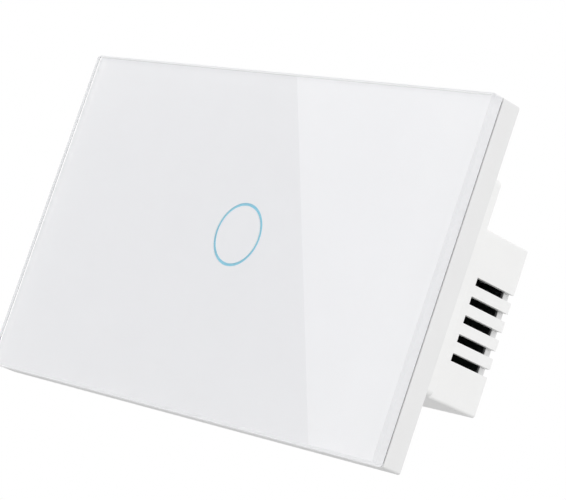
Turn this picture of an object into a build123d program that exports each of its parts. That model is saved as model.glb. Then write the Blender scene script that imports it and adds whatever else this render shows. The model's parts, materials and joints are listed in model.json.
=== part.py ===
"""A one-gang smart light switch: a pull-off glass touch panel, its wall plate, and the case behind.

The origin is the centre of the wall plane. +X is to the right, +Y goes into the wall, +Z is up. Lengths
are in millimetres.
"""
import os
from math import cos, pi, sin, sqrt

from build123d import *

# Room between pieces: a screw in its thread, a screw in a plain hole, sliding faces, and loose neighbours
THREAD_GAP = 0.05
HOLE_GAP = 0.1
FACE_GAP = 0.1
SLACK = 0.3

# Panel, seen from the front
PANEL_WIDTH = 120.0
PANEL_HEIGHT = 72.0

# Layers from the wall plane forwards, each a thickness
PAD_THICKNESS = 2.2
FRAME_DEPTH = 4.9
ADHESIVE_THICKNESS = 0.2
MASK_THICKNESS = 0.1
GLASS_THICKNESS = 2.5
GLASS_CORNER = 0.8
GLASS_BEVEL = 0.5
GLASS_BACK_BEVEL = 0.1
SEAM_RECESS = 0.3
ADHESIVE_SETBACK = 2.0

FRAME_BACK = -PAD_THICKNESS
FRAME_FRONT = FRAME_BACK - FRAME_DEPTH
MASK_BACK = FRAME_FRONT - ADHESIVE_THICKNESS
GLASS_BACK = MASK_BACK - MASK_THICKNESS
GLASS_FRONT = GLASS_BACK - GLASS_THICKNESS

# Lit ring of the touch key
RING_X = 3.1
RING_Z = 1.6
RING_RADIUS = 6.4
RING_WIDTH = 0.6

# Pull-off frame
FRAME_WALL = 1.8
FRAME_WEB = 1.4
FRAME_CORNER = 0.5
FRAME_EDGE_ROUND = 0.25
FRAME_FRONT_ROUND = 0.1
FRAME_INNER_CORNER = 1.0
FRAME_WINDOW_WIDTH = 102.0
FRAME_WINDOW_HEIGHT = 56.0
FRAME_WINDOW_CORNER = 3.0
CLIP_X = (-34.0, 34.0)
CLIP_WIDTH = 8.0
CLIP_STRIP = 0.3
CLIP_GROOVE = 0.4
CLIP_GROOVE_HALF = 0.9

# Mounting plate
PAD_WIDTH = 119.0
PAD_TOP = 22.0
PAD_BOTTOM = -20.5
PAD_CORNER = 1.2
PAD_EDGE_ROUND = 0.2
PLATE_WIDTH = 112.0
PLATE_HEIGHT = 64.0
PLATE_FRONT = -4.6
PLATE_CORNER = 2.5
PLATE_EDGE_ROUND = 0.5
FLOOR_THICKNESS = 1.4
WELL_WIDTH = 69.2
WELL_HEIGHT = 32.0
WELL_CORNER = 1.5
SCREW_SPACING = 83.3
SCREW_SLOT_WIDTH = 4.2
SCREW_SLOT_LENGTH = 8.0
SCREW_HEAD_ROOM = 7.6
SCREW_SEAT = 2.0

# Rear case, which stands in a shallow seat in the back of the mounting plate
BOX_SEAT = 0.3
BOX_WIDTH = 74.0
BOX_TOP = 18.4
BOX_BOTTOM = -17.6
BOX_DEPTH = 37.5
BOX_WALL = 1.3
BOX_CORNER = 0.6
BOX_INNER_CORNER = 0.4
BOX_REAR_ROUND = 0.2
BOX_HEIGHT = BOX_TOP - BOX_BOTTOM
BOX_MID = (BOX_TOP + BOX_BOTTOM) / 2
COVER_THICKNESS = 1.6
COVER_FRONT = BOX_DEPTH - COVER_THICKNESS
SHEET_THICKNESS = 0.4
VENT_COUNT = 5
VENT_TOP = 8.6
VENT_PITCH = 3.97
VENT_HEIGHT = 1.68
VENT_FRONT = 25.6

# Screws: a cross recess and a rounded head, as shares of the head's own height and radius
CROSS_DEPTH = 0.6
CROSS_REACH = 0.6
CROSS_HALF_WIDTH = 0.14
HEAD_ROUND = 0.4
HOLE_SPARE = 1.5

# Corner screws of the case, from the front and from the back
SCREW_X = 31.4
SCREW_Z = 12.6
CASE_SCREW_RADIUS = 1.3
CASE_SCREW_HEAD = 2.3
CASE_SCREW_HEAD_HEIGHT = 1.4
CASE_SCREW_LENGTH = 12.0
COVER_SCREW_HEAD_HEIGHT = 0.9
COVER_SCREW_LENGTH = 8.0
CASE_BOSS_RADIUS = 3.0
FRONT_BOSS_DEPTH = 13.0
REAR_BOSS_FRONT = 26.0

# Touch board
TOUCH_BOARD_WIDTH = 68.2
TOUCH_BOARD_HEIGHT = 31.0
TOUCH_BOARD_CORNER = 2.0
TOUCH_BOARD_THICKNESS = 1.0
TOUCH_BOARD_FRONT = -3.2
TOUCH_BOARD_BACK = TOUCH_BOARD_FRONT + TOUCH_BOARD_THICKNESS
MASK_CLEARANCE = 0.05
SPRING_RADIUS = 3.6
SPRING_WIRE = 0.5
SPRING_TURNS = 3.5
GUIDE_INNER = 5.6
GUIDE_OUTER = 7.3
GUIDE_LIP = 0.5
GUIDE_LIP_HEIGHT = 0.8
GUIDE_STAND_OFF = 0.9
GUIDE_PEG_RADIUS = 0.7
RING_LIGHT_COUNT = 4
RING_LIGHT_SIZE = (1.6, 0.7, 1.0)

# Small parts in a row and a column, and two larger ones: each size is a width, a length and a height
RESISTOR_ROW_START = (-26.0, -11.0)
RESISTOR_ROW_PITCH = 2.4
RESISTOR_ROW_COUNT = 6
RESISTOR_SIZE = (1.2, 2.0, 0.6)
CAPACITOR_COLUMN_START = (-22.5, -4.0)
CAPACITOR_COLUMN_PITCH = 2.6
CAPACITOR_COLUMN_COUNT = 5
CAPACITOR_SIZE = (2.0, 1.2, 0.55)
INPUT_CAPACITOR_PLACE = (-6.5, -11.5)
INPUT_CAPACITOR_SIZE = (3.2, 1.6, 1.3)
RADIO_CAPACITOR_PLACE = (8.5, -11.5)
RADIO_CAPACITOR_SIZE = (2.9, 1.6, 1.1)

# Chips: a body on legs, each with its place, its width, length and height, and its legs on one side
TOUCH_CHIP_PLACE = (-14.0, 2.0)
TOUCH_CHIP_SIZE = (3.9, 9.9, 1.6)
TOUCH_CHIP_LEGS = 8
RECTIFIER_PLACE = (19.0, -8.6)
RECTIFIER_SIZE = (5.0, 6.4, 2.6)
RECTIFIER_LEGS = 2
CONVERTER_PLACE = (27.2, -5.8)
CONVERTER_SIZE = (3.9, 4.9, 1.6)
CONVERTER_LEGS = 4
CHIP_STAND_OFF = 0.15
CHIP_BEVEL = 0.2
CHIP_LEG_REACH = 0.9
CHIP_LEG_THICKNESS = 0.3
CHIP_LEG_HALF_WIDTH = 0.2

# Radio module on the touch board
RADIO_X = (12.0, 28.8)
RADIO_Z = (-8.5, 7.5)
RADIO_BOARD_THICKNESS = 0.8
SHIELD_INSET = 0.8
SHIELD_HEIGHT = 2.2
SHIELD_CORNER = 0.6
SHIELD_TOP_ROUND = 0.3
AERIAL_LENGTH = 4.4

# Plug between the boards
PIN_COUNT = 6
PIN_PITCH = 2.54
PIN_SIZE = 0.64
PIN_STUB = 0.5
HEADER_Z = 13.2
HEADER_WIDTH = 2.5
HEADER_ROOM = 0.4
SOCKET_HEIGHT = 8.5
SOCKET_GAP = 0.05
PIN_DEPTH_IN_SOCKET = 4.0

# Power board
POWER_BOARD_WIDTH = 70.6
POWER_BOARD_HEIGHT = 32.8
POWER_BOARD_CORNER = 0.5
POWER_BOARD_FRONT = 22.7
POWER_BOARD_THICKNESS = 1.6
POWER_BOARD_BACK = POWER_BOARD_FRONT + POWER_BOARD_THICKNESS
BOARD_NOTCH = 7.6
BOARD_POST_X = 23.0
BOARD_POST_Z = 13.9
BOARD_POST_RADIUS = 2.2
BOARD_SCREW_RADIUS = 1.0
BOARD_SCREW_HEAD = 1.8
BOARD_SCREW_HEAD_HEIGHT = 1.2
BOARD_SCREW_LENGTH = 6.0
SOLDER_RADIUS = 0.9

# Screw terminals, wired from below and screwed from behind
POLE_X = (-10.0, 0.0, 10.0)
POLE_Z = -10.0
TERMINAL_HALF_WIDTH = 15.0
TERMINAL_BOTTOM = -16.0
TERMINAL_TOP = -4.0
TERMINAL_GROOVE = 1.0
CAGE_TRAVEL = 2.3
CAGE_HALF_WIDTH = 3.0
CAGE_SIDE = 0.7
CAGE_LENGTH = 5.0
CAGE_BOTTOM = 25.1
CAGE_TOP = 30.6
CAGE_FLOOR = 0.8
CAGE_NUT = 1.0
CAGE_ROOM_Z = (POLE_Z - 3.2, POLE_Z + 5.1)
BAR_FRONT = 28.7
BAR_THICKNESS = 0.8
BAR_HALF_WIDTH = 2.1
BAR_END = POLE_Z - 3.0
BAR_LEG_Z = (POLE_Z + 4.2, POLE_Z + 5.0)
BAR_STUB = 0.8
TERMINAL_THREAD_RADIUS = 1.5
TERMINAL_HEAD_RADIUS = 2.7
TERMINAL_HEAD_HEIGHT = 1.7
TERMINAL_HEAD_BEVEL = 0.3
TERMINAL_SLOT_HALF = 0.4
TERMINAL_SLOT_DEPTH = 1.0
TERMINAL_LEDGE = 0.9
TERMINAL_SHOULDER = CAGE_TOP + CAGE_TRAVEL + FACE_GAP
DRIVER_ROOM = 0.4
WIRE_HOLE_WIDTH = 3.9
WIRE_HOLE_Y = (25.2, 28.9)
WIRE_WINDOW_HALF = 13.5
WIRE_WINDOW_Y = (24.8, 31.0)

# Relay, with heights above the power board
RELAY_X = (-33.5, -14.5)
RELAY_Z = (-7.4, 8.2)
RELAY_HEIGHT = 15.5
RELAY_WALL = 0.8
RELAY_SIDE_ROUND = 0.6
RELAY_TOP_ROUND = 0.5
RELAY_STAND_OFF = 0.3
RELAY_BASE_TOP = 2.0
RELAY_LEG_RADIUS = 0.45
RELAY_LEGS = ((-31.0, -4.5), (-31.0, 5.3), (-17.0, -4.5))
COIL_X = -26.0
COIL_Z = 0.4
YOKE_THICKNESS = 1.2
YOKE_TOP = 12.5
YOKE_HALF_WIDTH = 4.2
BOBBIN_BOTTOM = 3.3
BOBBIN_TOP = 11.1
BOBBIN_FLANGE = 0.8
BOBBIN_TUBE = 0.8
BOBBIN_HALF = 4.7
CORE_RADIUS = 2.0
POLE_FACE_RADIUS = 3.6
POLE_FACE_TOP = 12.0
ARMATURE_BOTTOM = 12.6
ARMATURE_THICKNESS = 1.0
ARMATURE_HALF_WIDTH = 4.0
ARMATURE_X = (-32.0, -21.5)
LEAF_THICKNESS = 0.3
LEAF_HALF_WIDTH = 2.4
LEAF_START = -29.5
LEAF_END_RADIUS = 1.6
CONTACT_X = -18.2
CONTACT_RADIUS = 1.3
CONTACT_THICKNESS = 0.6
CONTACT_GAP = 0.76
POST_X = (-16.2, -15.7)
STRIP_THICKNESS = 0.5
STRIP_HALF_WIDTH = 1.5

# Transformer, with heights above the power board
TRANSFORMER_X = 21.0
TRANSFORMER_Z = 3.7
FERRITE_HALF_X = 7.5
FERRITE_HALF_Z = 3.1
FERRITE_HEIGHTS = (2.4, 14.0)
WINDOW_HALF_X = 4.4
WINDOW_HEIGHTS = (4.8, 11.6)
CENTRE_LEG_HALF_X = 1.6
SPOOL_TUBE = 0.7
SPOOL_FLANGE = 0.7
SPOOL_HALF_X = 4.2
SPOOL_HALF_Z = 5.7
WINDING_HALF_Z = 5.3
WINDING_CORNER = 1.0
PIN_RAIL_HEIGHT = 2.3
PIN_RAIL_HALF_X = 7.2
PIN_RAIL_HALF_Z = 6.3
PIN_RAIL_X = (16.0, 21.0, 26.0)
PIN_RAIL_Z = (-1.6, 9.0)

# Other supply parts, with heights above the power board
CAN_STAND_OFF = 0.2
CAN_LEG = 1.2
CAN_LEG_RADIUS = 0.3
CAN_GROOVE_HEIGHTS = (1.6, 2.2)
CAN_GROOVE_DEPTH = 0.3
CAN_TOP_ROUND = 0.4
BULK_X = 7.6
BULK_Z = (-0.8, 7.4)
BULK_RADIUS = 4.0
BULK_HEIGHT = 13.0
OUTPUT_CAN = (12.0, -12.0)
OUTPUT_CAN_RADIUS = 2.5
OUTPUT_CAN_HEIGHT = 8.0
WIRE_RADIUS = 0.35
FILM_X = (-13.2, 1.8)
FILM_Z = (-11.6, -6.1)
FILM_HEIGHTS = (0.3, 12.0)
FILM_CORNER = 0.5
FILM_LEG_INSET = 2.0
VARISTOR_X = (-8.5, -3.5)
VARISTOR_Z = 0.0
VARISTOR_RADIUS = 4.0
VARISTOR_THICKNESS = 3.4
VARISTOR_ROUND = 1.2
VARISTOR_HEIGHT = 6.4
FUSE_X = (-12.4, -2.6)
FUSE_Z = 8.6
FUSE_HEIGHT = 2.4
FUSE_RADIUS = 1.7
FUSE_LENGTH = 8.5
FUSE_ROUND = 0.6
FUSE_LEG_RADIUS = 0.3
FUSE_WIRE_SPARE = 1.0


def span(middle, half):
    """Limits that lie the same way off a middle."""
    return (middle - half, middle + half)


def block(x, y, z):
    """A box between pairs of limits along X, Y and Z."""
    size = Box(x[1] - x[0], y[1] - y[0], z[1] - z[0])
    return Pos(sum(x) / 2, sum(y) / 2, sum(z) / 2) * size


def rod(x, z, radius, y):
    """A round bar along Y."""
    return Pos(x, sum(y) / 2, z) * Rot(90, 0, 0) * Cylinder(radius, y[1] - y[0])


def slab(width, height, y, radius, middle=0.0):
    """A plate across the view, with rounded corners."""
    body = block(span(0, width / 2), y, span(middle, height / 2))
    return fillet(body.edges().filter_by(Axis.Y), radius)


def slot(x, z, width, length, y):
    """A slot along X with round ends, cut by a tool of the slot's width."""
    reach = (length - width) / 2
    body = block(span(x, reach), y, span(z, width / 2))
    return body + rod(x - reach, z, width / 2, y) + rod(x + reach, z, width / 2, y)


def front_edges(shape):
    """Edges of the foremost face."""
    return shape.faces().sort_by(Axis.Y)[0].edges()


def rear_edges(shape):
    """Edges of the rearmost face."""
    return shape.faces().sort_by(Axis.Y)[-1].edges()


def group(shapes):
    """Separate solids under one name."""
    return Compound([shape.solid() for shape in shapes])


def above(low, high):
    """Turns two heights above the power board into limits along Y."""
    return (POWER_BOARD_FRONT - high, POWER_BOARD_FRONT - low)


def corners(x, z, middle=BOX_MID):
    """The four places that lie x and z away from the middle of the case."""
    return [(i * x, middle + j * z) for i in (-1, 1) for j in (-1, 1)]


def glass_panel():
    """Flat glass with ground corners, a bevel in front and a small one behind."""
    glass = slab(PANEL_WIDTH, PANEL_HEIGHT, (GLASS_FRONT, GLASS_BACK), GLASS_CORNER)
    glass = chamfer(front_edges(glass), GLASS_BEVEL)
    return chamfer(rear_edges(glass), GLASS_BACK_BEVEL)


def print_mask():
    """White layer behind the glass: a sheet with a round hole, and a disc that leaves the ring open."""
    limits = (GLASS_BACK, MASK_BACK)
    sheet = slab(PANEL_WIDTH - 2 * SLACK, PANEL_HEIGHT - 2 * SLACK, limits, GLASS_CORNER)
    sheet -= rod(RING_X, RING_Z, RING_RADIUS + RING_WIDTH / 2, limits)
    disc = rod(RING_X, RING_Z, RING_RADIUS - RING_WIDTH / 2, limits)
    return group([sheet, disc])


def glass_adhesive():
    """A border of dark adhesive, set in a little from the edge."""
    limits = (MASK_BACK, FRAME_FRONT)
    outer = slab(PANEL_WIDTH - 2 * SEAM_RECESS, PANEL_HEIGHT - 2 * SEAM_RECESS, limits, GLASS_CORNER)
    width = FRAME_WINDOW_WIDTH + 2 * ADHESIVE_SETBACK
    height = FRAME_WINDOW_HEIGHT + 2 * ADHESIVE_SETBACK
    return outer - slab(width, height, limits, FRAME_WINDOW_CORNER)


def panel_frame():
    """Pull-off frame: a rim, a web that carries the glass, and a groove for each clip."""
    frame = slab(PANEL_WIDTH, PANEL_HEIGHT, (FRAME_FRONT, FRAME_BACK), FRAME_CORNER)
    frame = fillet(rear_edges(frame), FRAME_EDGE_ROUND)
    frame = fillet(front_edges(frame), FRAME_FRONT_ROUND)
    inside = (FRAME_FRONT + FRAME_WEB, FRAME_BACK)
    frame -= slab(PANEL_WIDTH - 2 * FRAME_WALL, PANEL_HEIGHT - 2 * FRAME_WALL, inside, FRAME_INNER_CORNER)
    frame -= slab(FRAME_WINDOW_WIDTH, FRAME_WINDOW_HEIGHT, (FRAME_FRONT, FRAME_BACK), FRAME_WINDOW_CORNER)
    for x in CLIP_X:
        for sign in (-1, 1):
            wall = sign * (PANEL_HEIGHT / 2 - FRAME_WALL)
            groove = sorted((wall, wall + sign * CLIP_GROOVE))
            frame -= block(span(x, CLIP_WIDTH / 2 + SLACK), span(clip_crest(), CLIP_GROOVE_HALF), groove)
    return frame


def clip_crest():
    """Where a clip is highest, half way through the mounting plate's edge."""
    return (PLATE_FRONT + FRAME_BACK) / 2


def panel_clips():
    """Bowed spring strips on the plate's long edges, which snap into the frame's grooves."""
    foot = PLATE_HEIGHT / 2
    rise = PANEL_HEIGHT / 2 - FRAME_WALL + CLIP_GROOVE - FACE_GAP - foot
    half = (FRAME_BACK - PLATE_FRONT) / 2 - PLATE_EDGE_ROUND
    outer = ThreePointArc((-half, 0), (0, rise), (half, 0))
    inner = ThreePointArc((half - CLIP_STRIP, 0), (0, rise - CLIP_STRIP), (CLIP_STRIP - half, 0))
    ends = [Line(outer @ 1, inner @ 0), Line(inner @ 1, outer @ 0)]
    profile = make_face([outer, ends[0], inner, ends[1]])
    strips = []
    for x in CLIP_X:
        for sign in (-1, 1):
            start = x - sign * CLIP_WIDTH / 2
            plane = Plane((start, clip_crest(), sign * foot), x_dir=(0, 1, 0), z_dir=(sign, 0, 0))
            strips.append(extrude(plane * profile, CLIP_WIDTH))
    return group(strips)


def mounting_plate():
    """Wall plate: a pad on the wall, a platform inside the frame, and a well for the touch board."""
    pad = slab(PAD_WIDTH, PAD_TOP - PAD_BOTTOM, (FRAME_BACK, 0), PAD_CORNER, (PAD_TOP + PAD_BOTTOM) / 2)
    pad = fillet(rear_edges(pad), PAD_EDGE_ROUND)
    platform = slab(PLATE_WIDTH, PLATE_HEIGHT, (PLATE_FRONT, FRAME_BACK), PLATE_CORNER)
    plate = pad + fillet(front_edges(platform), PLATE_EDGE_ROUND)
    plate -= slab(WELL_WIDTH, WELL_HEIGHT, (PLATE_FRONT, -FLOOR_THICKNESS), WELL_CORNER, BOX_MID)
    seat = slab(BOX_WIDTH + 2 * FACE_GAP, BOX_HEIGHT + 2 * FACE_GAP, (-BOX_SEAT, 0), BOX_CORNER, BOX_MID)
    plate -= seat
    for x, z in corners(SCREW_X, SCREW_Z):
        plate += rod(x, z, CASE_BOSS_RADIUS, (TOUCH_BOARD_BACK, -FLOOR_THICKNESS))
        plate -= rod(x, z, CASE_SCREW_RADIUS + HOLE_GAP, (TOUCH_BOARD_BACK, 0))
    for x in (-SCREW_SPACING / 2, SCREW_SPACING / 2):
        length = SCREW_SLOT_LENGTH + SCREW_HEAD_ROOM - SCREW_SLOT_WIDTH
        plate -= slot(x, 0, SCREW_HEAD_ROOM, length, (PLATE_FRONT, -SCREW_SEAT))
        plate -= slot(x, 0, SCREW_SLOT_WIDTH, SCREW_SLOT_LENGTH, (PLATE_FRONT, 0))
    half = PIN_COUNT * PIN_PITCH / 2 + HEADER_ROOM
    depth = HEADER_WIDTH / 2 + HEADER_ROOM
    plate -= block(span(0, half), (-FLOOR_THICKNESS, 0), span(HEADER_Z, depth))
    return plate


def screw(x, z, radius, head_radius, head_height, seat, length, towards):
    """A pan-head screw along Y with a cross recess; towards is 1 when its tip points at the wall side."""
    tip = seat + towards * length
    shank = rod(x, z, radius, sorted((seat, tip)))
    crown = seat - towards * head_height
    head = rod(x, z, head_radius, sorted((crown, seat)))
    rim = front_edges(head) if towards > 0 else rear_edges(head)
    head = fillet(rim, head_height * HEAD_ROUND)
    depth = sorted((crown, crown + towards * head_height * CROSS_DEPTH))
    reach = head_radius * CROSS_REACH
    width = head_radius * CROSS_HALF_WIDTH
    cross = block(span(x, reach), depth, span(z, width))
    cross += block(span(x, width), depth, span(z, reach))
    return shank + head - cross


def case_screws():
    """Four screws that hold the touch board, the mounting plate and the case together."""
    head = (CASE_SCREW_HEAD, CASE_SCREW_HEAD_HEIGHT)
    places = corners(SCREW_X, SCREW_Z)
    return group(
        [screw(x, z, CASE_SCREW_RADIUS, *head, TOUCH_BOARD_FRONT, CASE_SCREW_LENGTH, 1) for x, z in places]
    )


def cover_screws():
    """Four screws that hold the rear cover on the case."""
    head = (CASE_SCREW_HEAD, COVER_SCREW_HEAD_HEIGHT)
    seat = BOX_DEPTH - COVER_SCREW_HEAD_HEIGHT
    places = corners(SCREW_X, SCREW_Z)
    return group([screw(x, z, CASE_SCREW_RADIUS, *head, seat, COVER_SCREW_LENGTH, -1) for x, z in places])


def board_screws():
    """Four small screws that hold the power board on its posts."""
    head = (BOARD_SCREW_HEAD, BOARD_SCREW_HEAD_HEIGHT)
    places = corners(BOARD_POST_X, BOARD_POST_Z)
    return group(
        [screw(x, z, BOARD_SCREW_RADIUS, *head, POWER_BOARD_FRONT, BOARD_SCREW_LENGTH, 1) for x, z in places]
    )


def nearest_corner(x, z):
    """Signs that say on which side of the case's middle a place lies."""
    return (1 if x > 0 else -1, 1 if z > BOX_MID else -1)


def wall_middle(up):
    """Height of the middle of the case's top or bottom wall."""
    return BOX_MID + up * (BOX_HEIGHT - BOX_WALL) / 2


def corner_boss(x, z, y):
    """A screw boss that is joined to the corner of the case."""
    side, up = nearest_corner(x, z)
    wall_x = side * (BOX_WIDTH - BOX_WALL) / 2
    boss = rod(x, z, CASE_BOSS_RADIUS, y)
    boss += block(sorted((x, wall_x)), y, sorted((z, z + up * CASE_BOSS_RADIUS)))
    boss += block(sorted((x, x + side * CASE_BOSS_RADIUS)), y, sorted((z, wall_middle(up))))
    return boss


def rear_box():
    """Case behind the wall: four walls, vents that run out at the rear edge, bosses and posts."""
    box = slab(BOX_WIDTH, BOX_HEIGHT, (-BOX_SEAT, BOX_DEPTH), BOX_CORNER, BOX_MID)
    box = fillet(rear_edges(box), BOX_REAR_ROUND)
    inner_width = BOX_WIDTH - 2 * BOX_WALL
    inner_height = BOX_HEIGHT - 2 * BOX_WALL
    box -= slab(inner_width, inner_height, (-BOX_SEAT, BOX_DEPTH), BOX_INNER_CORNER, BOX_MID)
    front_tip = TOUCH_BOARD_FRONT + CASE_SCREW_LENGTH + HOLE_SPARE
    rear_tip = BOX_DEPTH - COVER_SCREW_HEAD_HEIGHT - COVER_SCREW_LENGTH - HOLE_SPARE
    for x, z in corners(SCREW_X, SCREW_Z):
        box += corner_boss(x, z, (-BOX_SEAT, FRONT_BOSS_DEPTH))
        box += corner_boss(x, z, (REAR_BOSS_FRONT, COVER_FRONT))
        box -= rod(x, z, CASE_SCREW_RADIUS + THREAD_GAP, (-BOX_SEAT, front_tip))
        box -= rod(x, z, CASE_SCREW_RADIUS + THREAD_GAP, (rear_tip, BOX_DEPTH))
    board_tip = POWER_BOARD_FRONT + BOARD_SCREW_LENGTH + HOLE_SPARE
    for x, z in corners(BOARD_POST_X, BOARD_POST_Z):
        wall = wall_middle(nearest_corner(x, z)[1])
        box += rod(x, z, BOARD_POST_RADIUS, (POWER_BOARD_BACK, COVER_FRONT))
        box += block(span(x, BOARD_POST_RADIUS), (POWER_BOARD_BACK, COVER_FRONT), sorted((z, wall)))
        box -= rod(x, z, BOARD_SCREW_RADIUS + THREAD_GAP, (POWER_BOARD_BACK, board_tip))
    for i in range(VENT_COUNT):
        top = VENT_TOP - i * VENT_PITCH
        for side in (-1, 1):
            wall = span(side * (BOX_WIDTH - BOX_WALL) / 2, BOX_WALL / 2)
            box -= block(wall, (VENT_FRONT, BOX_DEPTH), (top - VENT_HEIGHT, top))
    box -= block(span(0, WIRE_WINDOW_HALF), WIRE_WINDOW_Y, (BOX_BOTTOM, BOX_BOTTOM + BOX_WALL))
    return box


def rear_cover():
    """Plate that closes the case, with holes for the terminal screws and seats for its own."""
    width = BOX_WIDTH - 2 * (BOX_WALL + FACE_GAP)
    height = BOX_HEIGHT - 2 * (BOX_WALL + FACE_GAP)
    limits = (COVER_FRONT, BOX_DEPTH)
    cover = slab(width, height, limits, BOX_INNER_CORNER, BOX_MID)
    for x in POLE_X:
        cover -= rod(x, POLE_Z, TERMINAL_HEAD_RADIUS + DRIVER_ROOM, limits)
    for x, z in corners(SCREW_X, SCREW_Z):
        cover -= rod(x, z, CASE_SCREW_RADIUS + HOLE_GAP, limits)
        cover -= rod(x, z, CASE_SCREW_HEAD + 2 * HOLE_GAP, (BOX_DEPTH - COVER_SCREW_HEAD_HEIGHT, BOX_DEPTH))
    return cover


def insulation_sheet():
    """Dark insulating sheet in front of the rear cover, cut out round the terminals, bosses and posts."""
    width = BOX_WIDTH - 2 * (BOX_WALL + SLACK)
    height = BOX_HEIGHT - 2 * (BOX_WALL + SLACK)
    limits = (COVER_FRONT - SHEET_THICKNESS, COVER_FRONT)
    sheet = slab(width, height, limits, BOX_INNER_CORNER, BOX_MID)
    sheet -= block(span(0, TERMINAL_HALF_WIDTH + SLACK), limits, (BOX_BOTTOM, TERMINAL_TOP + SLACK))
    for x, z in corners(SCREW_X, SCREW_Z):
        side, up = nearest_corner(x, z)
        reach = CASE_BOSS_RADIUS + SLACK
        beyond = (side * BOX_WIDTH / 2, BOX_MID + up * BOX_HEIGHT / 2)
        sheet -= block(sorted((x - side * reach, beyond[0])), limits, sorted((z - up * reach, beyond[1])))
    for x, z in corners(BOARD_POST_X, BOARD_POST_Z):
        up = nearest_corner(x, z)[1]
        reach = BOARD_POST_RADIUS + SLACK
        sheet -= block(span(x, reach), limits, sorted((z - up * reach, BOX_MID + up * BOX_HEIGHT / 2)))
    return sheet


def touch_board():
    """Board behind the glass that carries the touch spring and the ring of lights."""
    limits = (TOUCH_BOARD_FRONT, TOUCH_BOARD_BACK)
    board = slab(TOUCH_BOARD_WIDTH, TOUCH_BOARD_HEIGHT, limits, TOUCH_BOARD_CORNER, BOX_MID)
    for x, z in corners(SCREW_X, SCREW_Z):
        board -= rod(x, z, CASE_SCREW_RADIUS + HOLE_GAP, limits)
    for x in pin_places():
        board -= block(pin_limits(x), limits, pin_limits(HEADER_Z))
    return board


def pin_places():
    """X of each pin of the plug."""
    return [(i - (PIN_COUNT - 1) / 2) * PIN_PITCH for i in range(PIN_COUNT)]


def pin_limits(middle, room=0.0):
    """Limits across a square pin."""
    return span(middle, PIN_SIZE / 2 + room)


def header_strip():
    """Plastic strip that holds the pins behind the touch board."""
    limits = (TOUCH_BOARD_BACK, TOUCH_BOARD_BACK + HEADER_WIDTH)
    strip = block(span(0, PIN_COUNT * PIN_PITCH / 2), limits, span(HEADER_Z, HEADER_WIDTH / 2))
    for x in pin_places():
        strip -= block(pin_limits(x), limits, pin_limits(HEADER_Z))
    return strip


def header_pins():
    """Long square pins from the touch board into the socket."""
    tip = POWER_BOARD_FRONT - SOCKET_HEIGHT + PIN_DEPTH_IN_SOCKET
    limits = (TOUCH_BOARD_FRONT - PIN_STUB, tip)
    return group([block(pin_limits(x), limits, pin_limits(HEADER_Z)) for x in pin_places()])


def header_socket():
    """Socket on the power board that takes the pins."""
    limits = above(0, SOCKET_HEIGHT)
    socket = block(span(0, PIN_COUNT * PIN_PITCH / 2), limits, span(HEADER_Z, HEADER_WIDTH / 2))
    room = (limits[0], limits[0] + PIN_DEPTH_IN_SOCKET + PIN_STUB)
    for x in pin_places():
        socket -= block(pin_limits(x, SOCKET_GAP), room, pin_limits(HEADER_Z, SOCKET_GAP))
    return socket


def biarc(start, start_way, end, end_way):
    """Two arcs that join two points and meet both directions."""
    chord = end - start
    ways = start_way + end_way
    spread = 2 * (1 - start_way.dot(end_way))
    along = chord.dot(ways)
    reach = (-along + sqrt(along * along + spread * chord.dot(chord))) / spread
    first = start + start_way * reach
    second = end - end_way * reach
    middle = (first + second) * 0.5
    return [TangentArc(start, middle, tangent=start_way), TangentArc(middle, end, tangent=second - first)]


def coil_point(angle, rise):
    """A point of the touch spring's line, and its direction there."""
    low = TOUCH_BOARD_FRONT - SPRING_WIRE / 2
    place = Vector(
        RING_X + SPRING_RADIUS * cos(angle),
        low - rise * angle,
        RING_Z + SPRING_RADIUS * sin(angle),
    )
    way = Vector(-SPRING_RADIUS * sin(angle), -rise, SPRING_RADIUS * cos(angle)).normalized()
    return place, way


def least_gap(path, samples=400):
    """Least gap between one turn of the spring and the next, measured on points."""
    points = [path.position_at(i / samples) for i in range(samples + 1)]
    half_turn = round(samples / SPRING_TURNS / 2)
    nearest = min((a - b).length for i, a in enumerate(points) for b in points[i + half_turn:])
    return nearest - SPRING_WIRE


def touch_spring():
    """Coil spring that joins the touch board to the back of the glass."""
    top = MASK_BACK + MASK_CLEARANCE + SPRING_WIRE / 2
    rise = (TOUCH_BOARD_FRONT - SPRING_WIRE / 2 - top) / (SPRING_TURNS * 2 * pi)
    steps = round(SPRING_TURNS * 4)
    stops = [coil_point(i * pi / 2, rise) for i in range(steps + 1)]
    arcs = []
    for (start, start_way), (end, end_way) in zip(stops, stops[1:]):
        arcs += biarc(start, start_way, end, end_way)
    path = Wire(arcs)
    print("touch spring: least gap to itself", round(least_gap(path), 2), "mm")
    return sweep(Plane(origin=path @ 0, z_dir=path % 0) * Circle(SPRING_WIRE / 2), path)


def ring_place(angle):
    """The place on the lit ring at an angle."""
    return (RING_X + RING_RADIUS * cos(angle), RING_Z + RING_RADIUS * sin(angle))


def ring_light_guide():
    """Clear ring that carries the light from the board to the open ring in the mask."""
    seat = TOUCH_BOARD_FRONT - GUIDE_STAND_OFF
    top = MASK_BACK + MASK_CLEARANCE
    lip = top + GUIDE_LIP_HEIGHT
    guide = rod(RING_X, RING_Z, GUIDE_OUTER, (lip, seat)) - rod(RING_X, RING_Z, GUIDE_INNER, (lip, seat))
    rim = rod(RING_X, RING_Z, RING_RADIUS + GUIDE_LIP, (top, lip))
    guide += rim - rod(RING_X, RING_Z, RING_RADIUS - GUIDE_LIP, (top, lip))
    for i in range(RING_LIGHT_COUNT):
        peg = ring_place((i + 0.5) * 2 * pi / RING_LIGHT_COUNT)
        guide += rod(*peg, GUIDE_PEG_RADIUS, (seat, TOUCH_BOARD_FRONT))
    return guide


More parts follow.
